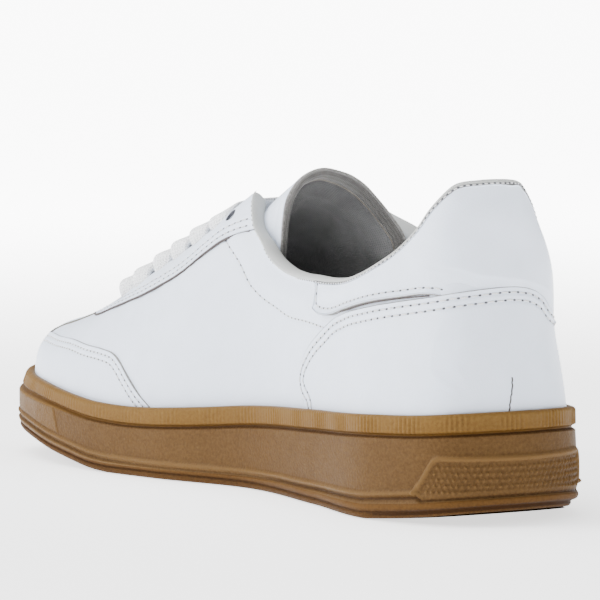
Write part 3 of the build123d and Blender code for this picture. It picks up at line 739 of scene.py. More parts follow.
COUNTER_EDGE = [
    (28.5, 61.5, 55), (29.5, 68, 58.3), (30.3, 76, 60.6), (32.5, 95.5, 64.4), (30.2, 108.8, 66.7),
    (25.1, 121.7, 69), (20.1, 126.5, 70.2), (14.6, 128.7, 70.9), (9.3, 129.8, 71.4), (1, 129.9, 71.4),
]
COUNTER_LATERAL_EDGE = [
    (-6.2, 128.4, 69.9), (-11, 126.7, 67.5), (-14.2, 125.3, 64.5), (-21, 120, 62.5), (-27, 110, 61.5),
    (-32, 95.5, 60.3), (-34, 76, 57.8), (-34, 68, 56.7), (-34, 61.5, 55),
]
COLLAR_STITCH = [
    (24.5, -6.5, 78.5), (24.5, 2.5, 71), (24, 7.5, 65), (23.5, 13.5, 61.5), (23.5, 21.5, 59),
    (24.5, 32, 56.5), (26.5, 45, 56), (28.5, 60, 55),
]
BAR_MIDDLE = [(12, -111, 45.5), (11.2, -98, 49), (12, -90, 52)]
BAR_STATIONS = [-119, -112, -104, -96, -86]
EYESTAY_TIP = [(18.3, 1.0, 88.9), (15.2, -4.4, 94.6)]
EYESTAY_STATIONS = [-82, -70, -58, -46, -34, -22, -12]
EYELET_STATIONS = [-68.5, -59, -49.5, -39.5, -29.5, -19.5, -10]
EYELET_OFFSET = 17.5
EYELETS = [
    (27.5, -66.5, 58.5), (26.5, -59, 62), (24, -49, 67.5), (22.5, -40, 72), (22, -28, 77.5),
    (21, -18, 83), (20.5, -10.5, 87),
]
EYELET_RADIUS = 2.4
LATERAL_EYELET_OFFSET = 19.0
WELL_POINTS = 28  # points round an eyelet
VAMP_LINING_EDGE = [
    (27, -16, 66), (30, -30, 62), (33, -46, 56), (34, -66, 51), (31, -82, 48), (22, -91, 49),
]
THROAT_STATIONS = [-78, -66, -54, -42, -30, -18, -8]
THROAT_HALF = 9.5
BAR_HALF = 17.0
BAR_CORNER = (29, -118.3, 41.8)
BAR_TUCK = (12, -124, 41)
# Depths of each kind of sheet's outer and inner face below the outer surface.
OVERLAY = (-0.15, 0.9)
EYESTAY = (-0.12, 0.9)
BAR = (0.0, 0.9)
SHELL = (0.4, 2.6)
PATCH = (-0.5, 0.9)
LINING = (5.1, 5.9)
ROLL_SHOWN = 1.2  # width of the binding that shows above the panels
# How much higher the lateral topline is than the medial one, by y.
LATERAL_RISE = [(-3.5, 0), (5, 5), (14, 10), (24, 11), (32, 10), (42, 4.5), (50, 1), (58, 0), (122, 0)]
LATERAL_TOPLINE = mirrored_line(
    [(x, y, z + float(smooth(LATERAL_RISE, [y])[0, 0])) for x, y, z in TOPLINE[:-1]]
) + TOPLINE[-1:]


def place(obj, slot, *nodes, body="shoe"):
    """Hangs a piece on its body in place of the CAD nodes that it stands for. Its slot is not used."""
    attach(obj, body)
    if nodes:
        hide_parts(*nodes)
    return obj


# ---------------------------------------------------------------------------
# Sole: a gum rubber cup with a ribbed lip, a groove, a grained wall and a heel frame
# ---------------------------------------------------------------------------
LIP_HEIGHT = [(-140, 5.2), (-108, 5.0), (-83, 5.2), (-57, 5.8), (-30, 6.2), (140, 6.2)]
LIP_SWELL = [
    (-140, -0.4), (-122, -0.6), (-108, -0.4), (-95, 0.3), (-83, 0.7), (-70, 0.7), (-57, 0.4), (-44, 0.4),
    (-20, 0.1), (0, -0.2), (18, 0.2), (57, 0.7), (82, 0.9), (107, 1.3), (131, 0.8), (140, 0.5),
]
TOE_LEAN = [(0, 0), (0.3, 0), (0.36, 0.6), (0.42, 1.9), (0.47, 1.6), (0.55, 0.6), (0.62, 0), (1, 0)]
WALL_SWELL = [
    (0, -0.5), (0.05, -0.3), (0.12, 0), (0.36, 0), (0.42, 1.1), (0.47, 1.0), (0.53, 0.3), (0.86, 0),
    (0.93, -0.9), (1, -0.5),
]
BEAD_HEIGHT = [
    (-140, 6.1), (-60, 6.1), (-25, 5.7), (10, 5.8), (40, 6.4), (62, 6.8), (80, 7.3), (106, 7.8), (140, 7.8),
]
STARS_FOOT = 6.6  # height of the star field's lower edge
FRAME_TOP = 20.6
FRAME_START, FRAME_CORNER = 0.0575, 0.0472  # s where the heel frame's end rises, and where it turns
TOE_PANEL = (0.365, 0.379)  # s of the toe panel's slanted end, at its foot and at its top
TOE_RIBS = (318, 402)  # where the ribs across the toe begin and end, in millimetres round the outline
# Strength of the lip's ribs by s.
RIB_STRENGTH = [(0, 1.0), (0.16, 1.0), (0.24, 0.45), (0.5, 0.5), (0.76, 0.45), (0.84, 1.0), (1, 1.0)]
LIP_ROUNDING = 1.1
WALL_INSET = 0.75  # the plain wall stands this far inside the outline
FOOT_DEPTH = 2.6  # width of the rounded foot of the wall, where the tread begins
TREAD_MIDDLE = [(-140, 3), (-60, 1), (20, -5), (140, 3)]  # x of the tread's middle line, by y
WALL_COLUMNS = 1900
GIRTH = 720.0  # turns s into millimetres round the outline
STAR_PITCH, STAR_ROW, STAR_RELIEF = 2.15, 0.87, 1.0  # rows are STAR_ROW pitches apart


def ridge(distance, width):
    """A rounded ridge of height 1 about a line."""
    return np.clip(1 - (distance / (width / 2)) ** 2, 0, 1) ** 1.5


def from_heel(s):
    """Millimetres round the outline from the middle of the heel, on either side."""
    return np.minimum(s % 1.0, 1 - s % 1.0) * GIRTH


def frame_distance(s, z, bead):
    """How far a point of the sidewall is from the middle of the heel frame's bead."""
    run = from_heel(s)
    start, corner = FRAME_START * GIRTH, FRAME_CORNER * GIRTH
    knee = corner + 0.12 * (start - corner)
    path = [(start, bead), (knee, FRAME_TOP - 2.2), (knee - 1.2, FRAME_TOP - 0.7), (corner - 2.2, FRAME_TOP)]
    near = np.hypot(np.clip(run - path[-1][0], 0, None), z - FRAME_TOP)
    for (ax, az), (bx, bz) in zip(path[:-1], path[1:]):
        share = ((run - ax) * (bx - ax) + (z - az) * (bz - az)) / ((bx - ax) ** 2 + (bz - az) ** 2)
        share = np.clip(share, 0, 1)
        near = np.minimum(near, np.hypot(run - ax - share * (bx - ax), z - az - share * (bz - az)))
    return near


def lip_relief(s, below, lip_height):
    """The lip: proud of the wall, finely ribbed round the heel, with a groove under it."""
    run = (s % 1.0) * GIRTH
    on_lip = np.clip((lip_height - 0.5 - below) / 0.5, 0, 1)
    strength = smooth(RIB_STRENGTH, s % 1.0)[..., 0]
    ribs = np.sin(run * 2 * math.pi / 1.9 + 1.3 * np.sin(run / 7.0)) * (0.55 + 0.45 * np.sin(run / 3.1))
    relief = on_lip * ribs * 0.20 * strength * np.clip(below / 1.2, 0, 1)
    relief += 0.35 * on_lip - 0.25 * np.clip((below - 1.0) / 5.0, 0, 1) * on_lip
    return relief - 1.1 * ridge(below - lip_height, 1.9)


def star_relief(s, z, above):
    """A field of small raised stars in staggered rows, inside the heel frame."""
    run = (s % 1.0) * GIRTH
    start, corner = FRAME_START * GIRTH, FRAME_CORNER * GIRTH
    edge = start + (z - STARS_FOOT) / (FRAME_TOP - STARS_FOOT) * (corner - start)
    inside = (from_heel(s) < edge - 1.2) & (above > STARS_FOOT) & (z < FRAME_TOP - 1.3)
    row = np.round((z - STARS_FOOT) / (STAR_PITCH * STAR_ROW))
    shift = (row % 2) * STAR_PITCH / 2
    middle = (np.round((run - shift) / STAR_PITCH)) * STAR_PITCH + shift
    dx, dz = run - middle, z - STARS_FOOT - row * STAR_PITCH * STAR_ROW
    turn = np.arctan2(dz, dx + 1e-9)
    radius = np.hypot(dx, dz) / (0.72 + 0.22 * np.cos(5 * turn + middle * 3.7 + row * 2.1))
    fade = 0.75 + 0.25 * np.sin(middle * 12.9898 + row * 78.233)
    return np.where(inside, STAR_RELIEF * fade * np.clip(1 - radius, 0, 1), 0)


def toe_relief(s, z, ground, body):
    """The toe panel, with its slanted ends, and the ribs across the very front."""
    run = (s % 1.0) * GIRTH
    slant = TOE_PANEL[0] * GIRTH + (z - ground) / 20.0 * (TOE_PANEL[1] - TOE_PANEL[0]) * GIRTH
    panel = np.clip((run - slant) / 0.5, 0, 1) * np.clip((GIRTH - run - slant) / 0.5, 0, 1)
    front = np.clip((run - TOE_RIBS[0]) / 6, 0, 1) * np.clip((TOE_RIBS[1] - run) / 6, 0, 1)
    return 0.35 * panel * body + 0.3 * front * body * np.sin(z * 2 * math.pi / 1.9)


def wall_relief(s, z, lip, ground, lip_height, bead):
    """Outward relief of the cup's sidewall at height z."""
    below, above = lip - z, z - ground
    relief = lip_relief(s, below, lip_height)
    within = np.clip((FRAME_START * GIRTH - 0.8 - from_heel(s)) / 2, 0, 1)
    bead = bead - 1.2 * within
    relief += 0.75 * (1 - 0.75 * within) * ridge(above - bead, 1.9)
    relief -= 0.7 * ridge(above - bead + 1.6, 1.2)
    relief += 0.6 * ridge(above - 3.9, 3.0)
    relief -= 0.5 * ridge(above - 2.2, 0.9)
    relief += 0.9 * ridge(frame_distance(s, z, bead + ground), 2.4)
    at_heel = np.clip((0.09 - from_heel(s) / GIRTH) / 0.03, 0, 1)
    relief -= 1.7 * at_heel * np.clip((2.3 - above) / 0.5, 0, 1)
    relief += star_relief(s, z, above)
    body = np.clip((below - lip_height - 0.8) / 0.6, 0, 1) * np.clip((above - bead - 1) / 0.6, 0, 1)
    return relief + toe_relief(s, z, ground, body)


def inner_rings(spot, normal, level, depths, rises):
    """Rings inside a plan outline, each as deep and as far above the level as listed."""
    rings = [np.concatenate([spot - normal * d, (level + h)[:, None]], 1) for d, h in zip(depths, rises)]
    return np.stack(rings, 1)


def make_cupsole():
    """The cup's wall, from the inside of its lip over the top and down to the tread."""
    s = np.linspace(0, 1, WALL_COLUMNS, endpoint=False)
    spot, normal = outline(s)
    lip = smooth(LIP_PROFILE, spot[:, 1])[:, 0] + smooth(LIP_SWELL, spot[:, 1])[:, 0]
    ground = np.maximum(smooth(WALL_GROUND, spot[:, 1])[:, 0], 0)
    lip_rows = np.concatenate([np.linspace(0, LIP_ROUNDING, 5), np.linspace(1.35, 7.4, 30)])
    depth = lip - ground - LIP_ROUNDING - lip_rows[-1]
    wall_rows = lip_rows[-1] + depth[:, None] * np.linspace(0, 1, 66)[1:]
    below = np.concatenate([np.repeat(lip_rows[None], len(s), 0), wall_rows], 1)
    z = lip[:, None] - below
    lip_height, bead = smooth(LIP_HEIGHT, spot[:, 1]), smooth(BEAD_HEIGHT, spot[:, 1]) + 0 * z
    relief = wall_relief(s[:, None] + 0 * z, z, lip[:, None], ground[:, None], lip_height, bead)
    corner = 1 - np.clip(below / LIP_ROUNDING, 0, 1)
    rounding = LIP_ROUNDING * (1 - np.sqrt(np.clip(1 - corner**2, 0, 1)))
    lean = np.clip((z - ground[:, None] - 14) / 16, 0, 1) ** 1.5 * 0.9
    swell = smooth(WALL_SWELL, s)
    lip_in = 0.7 * np.clip(swell, 0, 1) * np.clip((lip_height + 0.6 - below) / 1.2, 0, 1)
    toe_lean = smooth(TOE_LEAN, s) * np.clip(1 - below / lip_height, 0, 1)
    out = relief - rounding - lean - WALL_INSET + swell - lip_in - toe_lean
    wall = np.concatenate([spot[:, None] + normal[:, None] * out[..., None], z[..., None]], -1)
    rim = spot + normal * out[:, :1]
    top = inner_rings(rim, normal, lip, (0.35, 1.2, 2.0, 2.3), (-0.05, -0.25, -0.9, -2.4))
    base = spot + normal * (out[:, -1:] + WALL_INSET)
    foot = inner_rings(base, normal, ground, (0.95, 1.15, 1.7, FOOT_DEPTH), (0.8, 0.45, 0.12, 0.0))
    rings = np.concatenate([top[:, ::-1], wall, foot], 1)
    count, height = rings.shape[:2]
    faces = grid_faces(count, height, closed_rows=True)
    index = np.zeros(len(faces), np.int32).reshape(count, height - 1)
    index[:, : top.shape[1] + len(lip_rows) - 6] = 1
    # The lowest rows of the wall take the darker tread gum: painted shade at the foot of the wall.
    index[:, -14:] = 2
    obj = new_object("cupsole_rubber", rings.reshape(-1, 3), faces, [GUM, GUM_LIP, TREAD])
    obj.data.polygons.foreach_set("material_index", index.ravel())
    # The relief's height, which the rubber's colour reads for painted light and shade.
    shading_relief = np.zeros((count, height), np.float32)
    shading_relief[:, top.shape[1] : -foot.shape[1]] = relief
    obj.data.attributes.new("relief", "FLOAT", "POINT").data.foreach_set("value", shading_relief.ravel())
    place(turn_outwards(obj), "gum_rubber", "cupsole")
    make_tread(base, normal)


def make_tread(spot, normal):
    """The tread: a plain rim, then a field of chevron ribs."""
    along = spot[:, 1] * 0.86
    middle = np.stack([smooth(TREAD_MIDDLE, along)[:, 0], along], 1)
    share = np.linspace(0, 1, 90)[None, :, None]
    start = spot - normal * FOOT_DEPTH
    plan = start[:, None] * (1 - share) + middle[:, None] * share
    base = np.maximum(smooth(WALL_GROUND, plan[..., 1])[..., 0], 0)
    rim = np.linalg.norm(plan - start[:, None], axis=-1)
    zigzag = np.abs(((plan[..., 0] + 200) / 9) % 2 - 1) * 4.5
    groove = np.clip(np.sin((plan[..., 1] + zigzag) * 2 * math.pi / 5.2) * 2.2, -1, 1) * 0.5 + 0.5
    field = np.clip((rim - 4) / 0.8, 0, 1)
    base = base + 1.0 * groove * field + 0.9 * ridge(rim - 4, 1.8)
    verts = np.concatenate([plan, base[..., None]], -1)
    faces = grid_faces(*verts.shape[:2], closed_rows=True)
    place(new_object("cupsole_tread", verts.reshape(-1, 3), faces, TREAD), "gum_rubber")


# ---------------------------------------------------------------------------
# Upper: leather panels
# ---------------------------------------------------------------------------
def groove(points, line, width, depth):
    """A dent along a row of stitches."""
    return -depth * np.exp(-((distances(points, line) / (width / 2)) ** 2))


def side_line(line, sign):
    """A medial pattern line, or the lateral one opposite it."""
    return list(line) if sign > 0 else mirrored_line(line)


def dark_line(name, line, lift, width, thickness, wobble=0.0):
    """A thin dark strip along a line on the skin: the shadowed edge of a piece of leather."""
    line, normals = snap(line)
    sideways, _ = line_frame(line, normals)
    line = line + sideways * (wobble * np.sin(np.arange(len(line)) * 2.4))[:, None]
    section = oval(width, thickness, 8, 2)
    place(band(name, line + normals * lift, normals, sideways, section, EDGE_SHADE), "white_leather")


def make_side_panels():
    """The two long quarters: padded at the collar, creased where the foot bends."""
    for side, sign in (("medial", 1), ("lateral", -1)):
        topline = TOPLINE if sign > 0 else LATERAL_TOPLINE
        middle = [(x + sign * 0.25, y, z) for x, y, z in BAR_MIDDLE]
        throat = ridge_line(sign * THROAT_HALF, THROAT_STATIONS)
        seam = [tuple(p) for p in beside(topline, -sign * ROLL_SHOWN)]
        first, last = station_s(-46, sign > 0), 0.0 if sign > 0 else 1.0
        bottom = foot_line(first, last, -0.45)
        hidden = side_line(UNDER_CAP[1:-1], sign)
        grid = skin_grid(bottom, middle + throat + seam, 96, 340, front=[bottom[0], *hidden, middle[0]])
        stitch = side_line(COLLAR_STITCH, sign)
        collar = resample(beside(topline, -sign * 3), 60)
        stay_edge = [(p[1], p[2]) for p in EYESTAY_EDGE]

        def height(points):
            near, rim = distances(points, stitch), distances(points, collar)
            above = (points[..., 2] > smooth([(p[1], p[2]) for p in COLLAR_STITCH], points[..., 1])[..., 0])
            puff = 1.1 * np.exp(-((rim - 5.5) / 5.5) ** 2) * np.clip(near / 4, 0, 1) * above
            puff = puff * np.clip((52 - points[..., 1]) / 5, 0, 1)
            under = np.clip((points[..., 2] - smooth(stay_edge, points[..., 1])[..., 0] + 0.6) / 1.2, 0, 1)
            under = under * np.clip((7 - points[..., 1]) / 3, 0, 1)
            crease = 0.16 * ripples(points, 34, 5 + sign)
            flex = 0.12 * ripples(points * np.array([1.0, 2.2, 1.0]), 16, 11 + sign)
            flex *= np.exp(-((points[..., 1] + 42) / 26) ** 2)
            return (puff + crease + flex) * (1 - under) - 0.6 * under - 0.32 * np.exp(-((near / 0.9) ** 2))

        panel = sheet(f"side_panel_{side}_leather", grid, SHELL, [WHITE, WHITE_EDGE], height)
        place(panel, "white_leather", f"side_panel_{side}")
        stitches(f"collar_{side}", trace(stitch, 80), -SHELL[0], height, width=0.42)


def make_toe():
    """The toe cap with its two rows of stitches, and the bar that tucks under it."""
    cap_bottom = foot_line(station_s(-30.5), station_s(-30.5, False), -0.45)
    cap_top = both_sides(CAP_EDGE, [CAP_MIDDLE])
    edge = trace(cap_top, 160)
    rows = [beside(edge, 1.9, 160), beside(edge, 3.9, 160)]

    def height(points):
        dent = sum(groove(points, row, 1.5, 0.26) for row in rows)
        return dent + 0.10 * ripples(points, 22, 3) + 0.12 * ridge(distances(points, rows[0]) - 1.0, 2.2)

    grid = skin_grid(cap_bottom, cap_top, 84, 380)
    cap = sheet("toe_cap_leather", grid, OVERLAY, [WHITE, WHITE_EDGE], height, 0.5)
    place(cap, "white_leather", "toe_cap")
    for k, row in enumerate(rows):
        stitches(f"toe_cap_{k}", row, -OVERLAY[0], height, pitch=2.5, width=0.45)
    low, high = ridge_line(-BAR_HALF, BAR_STATIONS), ridge_line(BAR_HALF, BAR_STATIONS)
    low[0], high[0] = mirrored_line([BAR_CORNER])[0], BAR_CORNER
    grid = skin_grid(low, high, 60, 50, front=[low[0], BAR_TUCK, high[0]])

    def creases(points):
        return 0.08 * ripples(points, 12, 9)

    bar = sheet("toe_bar_leather", grid, BAR, [WHITE, BAR_EDGE_SHADE], creases, 0.35)
    place(bar, "white_leather", "toe_bar")


def make_eyestays():
    """The punched strips on both sides of the throat, each with two rows and a dark edge: the cut edge
    painted near-black as shade.
    """
    for side, sign in (("medial", 1), ("lateral", -1)):
        edge = side_line(EYESTAY_EDGE, sign)
        tip = side_line(EYESTAY_TIP, sign)
        throat = ridge_line(sign * THROAT_HALF, EYESTAY_STATIONS) + tip[1:]
        lower = trace(edge, 120)
        rows = [beside(lower, sign * 2.0, 120), beside(lower, sign * 4.4, 120)]

        def height(points):
            return sum(groove(points, row, 1.3, 0.22) for row in rows) + 0.07 * ripples(points, 9, 21)

        grid = skin_grid(edge, throat, 60, 240, back=[edge[-1], *tip])
        strip = sheet(f"eyestay_{side}_leather", grid, EYESTAY, [WHITE, EDGE_SHADE], height, 0.3)
        punch(strip, sign)
        place(strip, "white_leather", f"eyestay_{side}")
        for k, row in enumerate(rows):
            stitches(f"eyestay_{side}_{k}", row[:-5], -EYESTAY[0], height, pitch=2.7, width=0.42)
        # Painted shade: a dark strip along the eyestay's lower edge.
        dark_line(f"eyestay_{side}_rim", beside(lower, -sign * 0.2, 120)[:-3], -0.1, 0.8, 0.75)


def eyelet_spots(sign):
    """Where the eyelets are on one side, and the outward normals there."""
    return snap(EYELETS if sign > 0 else ridge_line(-LATERAL_EYELET_OFFSET, [y for _, y, _ in EYELETS]))


def punch(strip, sign):
    """Cuts the eyelets through a strip, and lines each with a well painted dark as the shade inside it."""
    spots, normals = eyelet_spots(sign)
    verts, faces, wells, well_faces = [], [], [], []
    ring = np.linspace(0, 2 * math.pi, WELL_POINTS, endpoint=False)
    for spot, normal in zip(spots, normals):
        side = np.cross(normal, (0, 1, 0))
        side /= np.linalg.norm(side)
        other = np.cross(normal, side)
        around = np.outer(np.cos(ring), side) + np.outer(np.sin(ring), other)
        start = len(verts) * WELL_POINTS
        verts += [spot + around * EYELET_RADIUS + normal * 2.5, spot + around * EYELET_RADIUS - normal * 3]
        faces += grid_faces(2, WELL_POINTS, start, closed_columns=True)
        faces += end_faces(start, 2, WELL_POINTS)
        start = len(wells) * WELL_POINTS
        for radius, depth in ((0.99, 0.05), (0.97, 0.5), (0.95, 1.4), (0.6, 1.5), (0.1, 1.5)):
            wells.append(spot + around * EYELET_RADIUS * radius - normal * depth)
        well_faces += grid_faces(5, WELL_POINTS, start, closed_columns=True)
        well_faces.append(end_faces(start, 5, WELL_POINTS)[1])
    cutter = turn_outwards(new_object("eyelet_cutter", np.vstack(verts), faces, HOLE_SHADE))
    cut = strip.modifiers.new("eyelets", "BOOLEAN")
    cut.object, cut.operation, cut.solver = cutter, "DIFFERENCE", "EXACT"
    apply_modifiers(strip)
    bpy.data.objects.remove(cutter)
    side_name = "medial" if sign > 0 else "lateral"
    lined = new_object(f"eyelet_wells_{side_name}", np.vstack(wells), well_faces, HOLE_SHADE)
    place(turn_outwards(lined), "backer_tape")


def apply_modifiers(obj):
    """Gives an object its modified mesh for good."""
    depsgraph = bpy.context.evaluated_depsgraph_get()
    mesh = bpy.data.meshes.new_from_object(obj.evaluated_get(depsgraph))
    obj.modifiers.clear()
    old, obj.data = obj.data, mesh
    bpy.data.meshes.remove(old)


def make_heel():
    """The counter over the heel, with two rows of stitches along its edge, and the patch above."""
    counter_bottom = foot_line(station_s(50), -1 + station_s(50, False), -0.45)
    counter_top = COUNTER_EDGE + COUNTER_LATERAL_EDGE
    front = [counter_bottom[0], *COUNTER_FRONT]
    back = [counter_bottom[-1], *mirrored_line(COUNTER_FRONT)]
    whole_edge = trace(front + counter_top[1:-1] + back[::-1], 300)
    rows = [beside(whole_edge, -1.9, 300), beside(whole_edge, -4.3, 300)]

    def height(points):
        return sum(groove(points, row, 1.4, 0.25) for row in rows) + 0.13 * ripples(points, 26, 31)

    grid = skin_grid(counter_bottom, counter_top, 96, 380, front=front, back=back)
    counter = sheet("heel_counter_leather", grid, OVERLAY, [WHITE, WHITE_EDGE], height, 0.35)
    place(counter, "white_leather", "heel_counter_overlay")
    for k, row in enumerate(rows):
        stitches(f"heel_counter_{k}", row, 0.1 - OVERLAY[0], height, pitch=3.3, width=0.5)
    make_collar_patch()


def make_collar_patch():
    """The padded patch round the back of the collar, a painted shadow in the gap under it, and the heel's
    dart.
    """
    seam = beside(TOPLINE, -ROLL_SHOWN - 0.7)
    patch_top = both_sides([p for p in seam if p[1] > PATCH_FRONT[-1][1]])
    lower_edge = trace(PATCH_EDGE + PATCH_LATERAL_EDGE, 200)
    lateral_front = mirrored_line(PATCH_FRONT[1:])
    full_edge = trace(PATCH_FRONT[::-1] + PATCH_EDGE[1:] + PATCH_LATERAL_EDGE + lateral_front, 260)
    stitch = beside(full_edge, 2.1, 260)
    sewn = [stitch[: len(stitch) // 2], stitch[len(stitch) // 2 :]]
    sewn = [half[half[:, 1] < PATCH_STITCH_END] for half in sewn]
    rim = both_sides(beside(TOPLINE, -3))

    def padded(points):
        near = distances(points, stitch)
        puff = 1.0 * np.exp(-((distances(points, rim) - 9) / 9) ** 2) * np.clip(near / 5, 0, 1)
        free = np.clip((PATCH_STITCH_END + 2 - points[..., 1]) / 6, 0, 1)
        edge = distances(points, full_edge)
        fold = 0.45 * np.clip(1 - edge / 2.0, 0, 1) ** 0.5 * free
        under = 1.6 * (1 - free) * np.clip(1 - edge / 9, 0, 1) ** 0.6
        dent = 0.3 * np.exp(-((near / 1.3) ** 2)) * free
        return puff + fold - under + 0.12 * ripples(points, 28, 41) - dent

    grid = skin_grid(lower_edge, patch_top, 80, 340)
    patch = sheet("collar_patch_leather", grid, PATCH, [WHITE, WHITE_EDGE], padded, 0.6)
    place(patch, "white_leather", "collar_patch")
    for k, half in enumerate(sewn):
        stitches(f"collar_patch_{k}", half, 0.1 - PATCH[0], padded, pitch=3.1, width=0.5)
    # Painted shadow: a dark strip laid in the gap under the patch's lower edge.
    dark_line("patch_gap_painted_shadow", trace(beside(PATCH_GAP, -0.3), 60), 0.4, 0.5, 0.5)
    dark_line("heel_dart_seam", trace(HEEL_DART, 16), 0.12, 0.5, 0.4, wobble=0.12)


def make_binding():
    """The soft roll round the ankle opening: a thin outer leg, a round top and an inner leg."""
    line = trace([*TOPLINE, *LATERAL_TOPLINE[-2::-1]], 420)
    line, normals = snap(line)
    sideways, _ = line_frame(line, normals)
    up = -sideways if (sideways[:, 2].mean() < 0) else sideways
    outer = [(-2.4, -0.8), (-2.0, 0.1), (-1.6, 0.6), (-1.2, 0.85)]
    angles = np.linspace(0.45, math.pi - 0.15, 14)
    roll = [(-1.9 + 1.95 * math.sin(a), -2.5 + 3.6 * math.cos(a)) for a in angles]
    inner = [
        (-3.4, -6.5), (-5.4, -6.7), (-7.2, -6.5), (-7.6, -6.1), (-6.0, -5.6), (-3.4, -5.2), (-2.6, -2.8),
        (-3.0, -1.6),
    ]
    profile = np.repeat(np.array(outer + roll + inner)[None], len(line), 0)
    middle = (-2, -2.5)
    for k, share in enumerate((0.25, 0.66, 0.86, 0.96)):
        for end in (k, -1 - k):
            profile[end] = (profile[end] - middle) * share + middle
    obj = band("topline_roll", line, normals, up, profile, BINDING_MATERIAL)
    place(obj, "collar_binding", "topline_binding")
    seam = beside(line, -1.95 if up is sideways else 1.95, 500)
    behind = seam[:, 1] > PATCH_FRONT[0][1]
    first, last = np.argmax(behind), len(seam) - np.argmax(behind[::-1])
    for part, lift in ((seam[:first], 0.1), (seam[first:last], 0.85), (seam[last:], 0.1)):
        stitches(f"topline_{len(part)}", part, lift, pitch=1.9, width=0.3)


def make_linings():
    """The cloth inside: both sides, the heel and the vamp, and the footbed."""
    for side, sign in (("medial", 1), ("lateral", -1)):
        topline = TOPLINE if sign > 0 else LATERAL_TOPLINE
        rim = [tuple(p) for p in beside(topline, -sign * 3.4) if 4 < p[1] < 96]
        heights = (67, 71, 74) if sign > 0 else (74, 80, 85)
        front = side_line([(25, y, z) for y, z in zip((-14, -7, 1), heights)], sign)
        bottom = foot_line(station_s(-14.5, sign > 0), station_s(96, sign > 0), -0.97)
        grid = skin_grid(bottom, front + rim, 60, 160)
        lining = sheet(f"lining_{side}_cloth", grid, LINING, LINING_MATERIAL, None, 0.3)
        place(lining, "grey_lining", f"lining_{side}")
    rim = [p for p in both_sides([tuple(p) for p in beside(TOPLINE, -3.4)]) if p[1] > 97]
    bottom = foot_line(station_s(97), -1 + station_s(97, False), -0.97)
    heel = sheet("heel_lining_cloth", skin_grid(bottom, rim, 70, 120), LINING, LINING_MATERIAL, None, 0.3)
    place(heel, "grey_lining", "heel_lining")
    bottom = foot_line(station_s(-16), station_s(-16, False), -0.97)
    vamp = both_sides(VAMP_LINING_EDGE, [(11, -94, 50)])
    cloth = sheet("vamp_lining_cloth", skin_grid(bottom, vamp, 60, 200), LINING, LINING_MATERIAL, None, 0.3)
    place(cloth, "grey_lining", "vamp_lining")
    make_sockliner()


def make_sockliner():
    """The footbed: a rounded rim, and a top that dips towards its middle."""
    s = np.linspace(0, 1, 260, endpoint=False)
    spot, normal = outline(s)
    board = smooth(BOARD_TOP, spot[:, 1])[:, 0]
    edge = spot - normal * (FOOT_INSET + LINING[1] + 1.4)
    rim = inner_rings(edge, normal, board, (0.6, 0.0, 0.0, 0.5, 1.6), (0.3, 0.8, 3.2, 3.9, 4.1))
    middle = np.stack([0 * s + 0.5, spot[:, 1] * 0.8], 1)
    rings = []
    for share in np.linspace(0.06, 1, 30):
        plan = rim[:, -1, :2] * (1 - share) + middle * share
        board = smooth(BOARD_TOP, plan[:, 1])[:, 0]
        dish = 0.9 * math.sin(share * math.pi / 2)
        rings.append(np.concatenate([plan, (board + 4.2 - dish)[:, None]], 1))
    verts = np.concatenate([rim, np.stack(rings, 1)], 1)
    faces, uv = grid_faces(*verts.shape[:2], closed_rows=True), verts[..., :2].reshape(-1, 2) * MM
    obj = new_object("sockliner_cloth", verts.reshape(-1, 3), faces, SOCK_MATERIAL, uv)
    place(turn_outwards(obj), "sockliner_textile", "sockliner")


# ---------------------------------------------------------------------------
# Tongue, on its own body
# ---------------------------------------------------------------------------
TONGUE_RIBS = [  # from medial to lateral edge, from the root to below the top
    [(19, -84, 42.5), (15, -84, 43.6), (10, -84, 44), (4, -84, 43.7), (-3, -84, 42.5)],
    [(22, -53, 54), (16, -53, 60), (5.6, -53, 62.2), (-6, -53, 60.5), (-17, -53, 54)],
    [(21, -23, 63), (15, -23, 72), (4.6, -23, 77), (-12, -23, 73), (-25, -23, 58)],
    [(17.5, -3, 70), (14.5, -3, 84), (3.6, -3, 92), (-14, -3, 86), (-23, -3, 64)],
]
TONGUE_END = [
    (14, 11, 72), (14.3, 12.5, 80), (14.3, 14, 88), (13.5, 16.2, 95), (11.5, 17.9, 99.3), (7.5, 19.6, 102),
    (3, 20.8, 103), (-1.5, 22.1, 101.9), (-8, 22.8, 99.2), (-12.5, 24.5, 95.2), (-17, 26.6, 89.3),
    (-20, 30.5, 82.8), (-21, 32.5, 79), (-22, 32, 74), (-22, 30, 67),
]
TONGUE_RIM_THICKNESS, TONGUE_THICKNESS = 2.0, 4.6
TONGUE_SEAM = 3.7  # how far the seam is from the tongue's edge


def tongue_grid(rows, columns):
    """Points and outward normals of the tongue's outer face, from its root to its top edge."""
    ribs = np.stack([resample(rib, 13) for rib in TONGUE_RIBS] + [resample(TONGUE_END, 13)])
    points = refine(ribs, rows, columns)
    normals = np.cross(np.gradient(points, axis=1), np.gradient(points, axis=0))
    normals /= np.linalg.norm(normals, axis=-1, keepdims=True)
    if normals[rows // 2, columns // 2, 2] < 0:
        normals = -normals
    return points, normals


def make_tongue():
    """The tongue's leather face, its padded back and its knit edge."""
    points, normals = tongue_grid(170, 110)
    rim, rim_normals = points[-1], normals[-3]

    def height(at):
        dent = 0.25 * np.exp(-((distances(at, rim) - TONGUE_SEAM) / 0.8) ** 2)
        return 0.18 * ripples(at, 20, 51) - dent

    leather_face = (points, normals)
    outer = sheet("tongue_leather_outer", leather_face, (0, 1.2), [WHITE, WHITE_EDGE], height, 0.4)
    place(outer, "white_leather", "tongue_leather", body="tongue")
    make_tongue_pad(points, normals, rim)
    make_tongue_band(rim, rim_normals, points[-4])


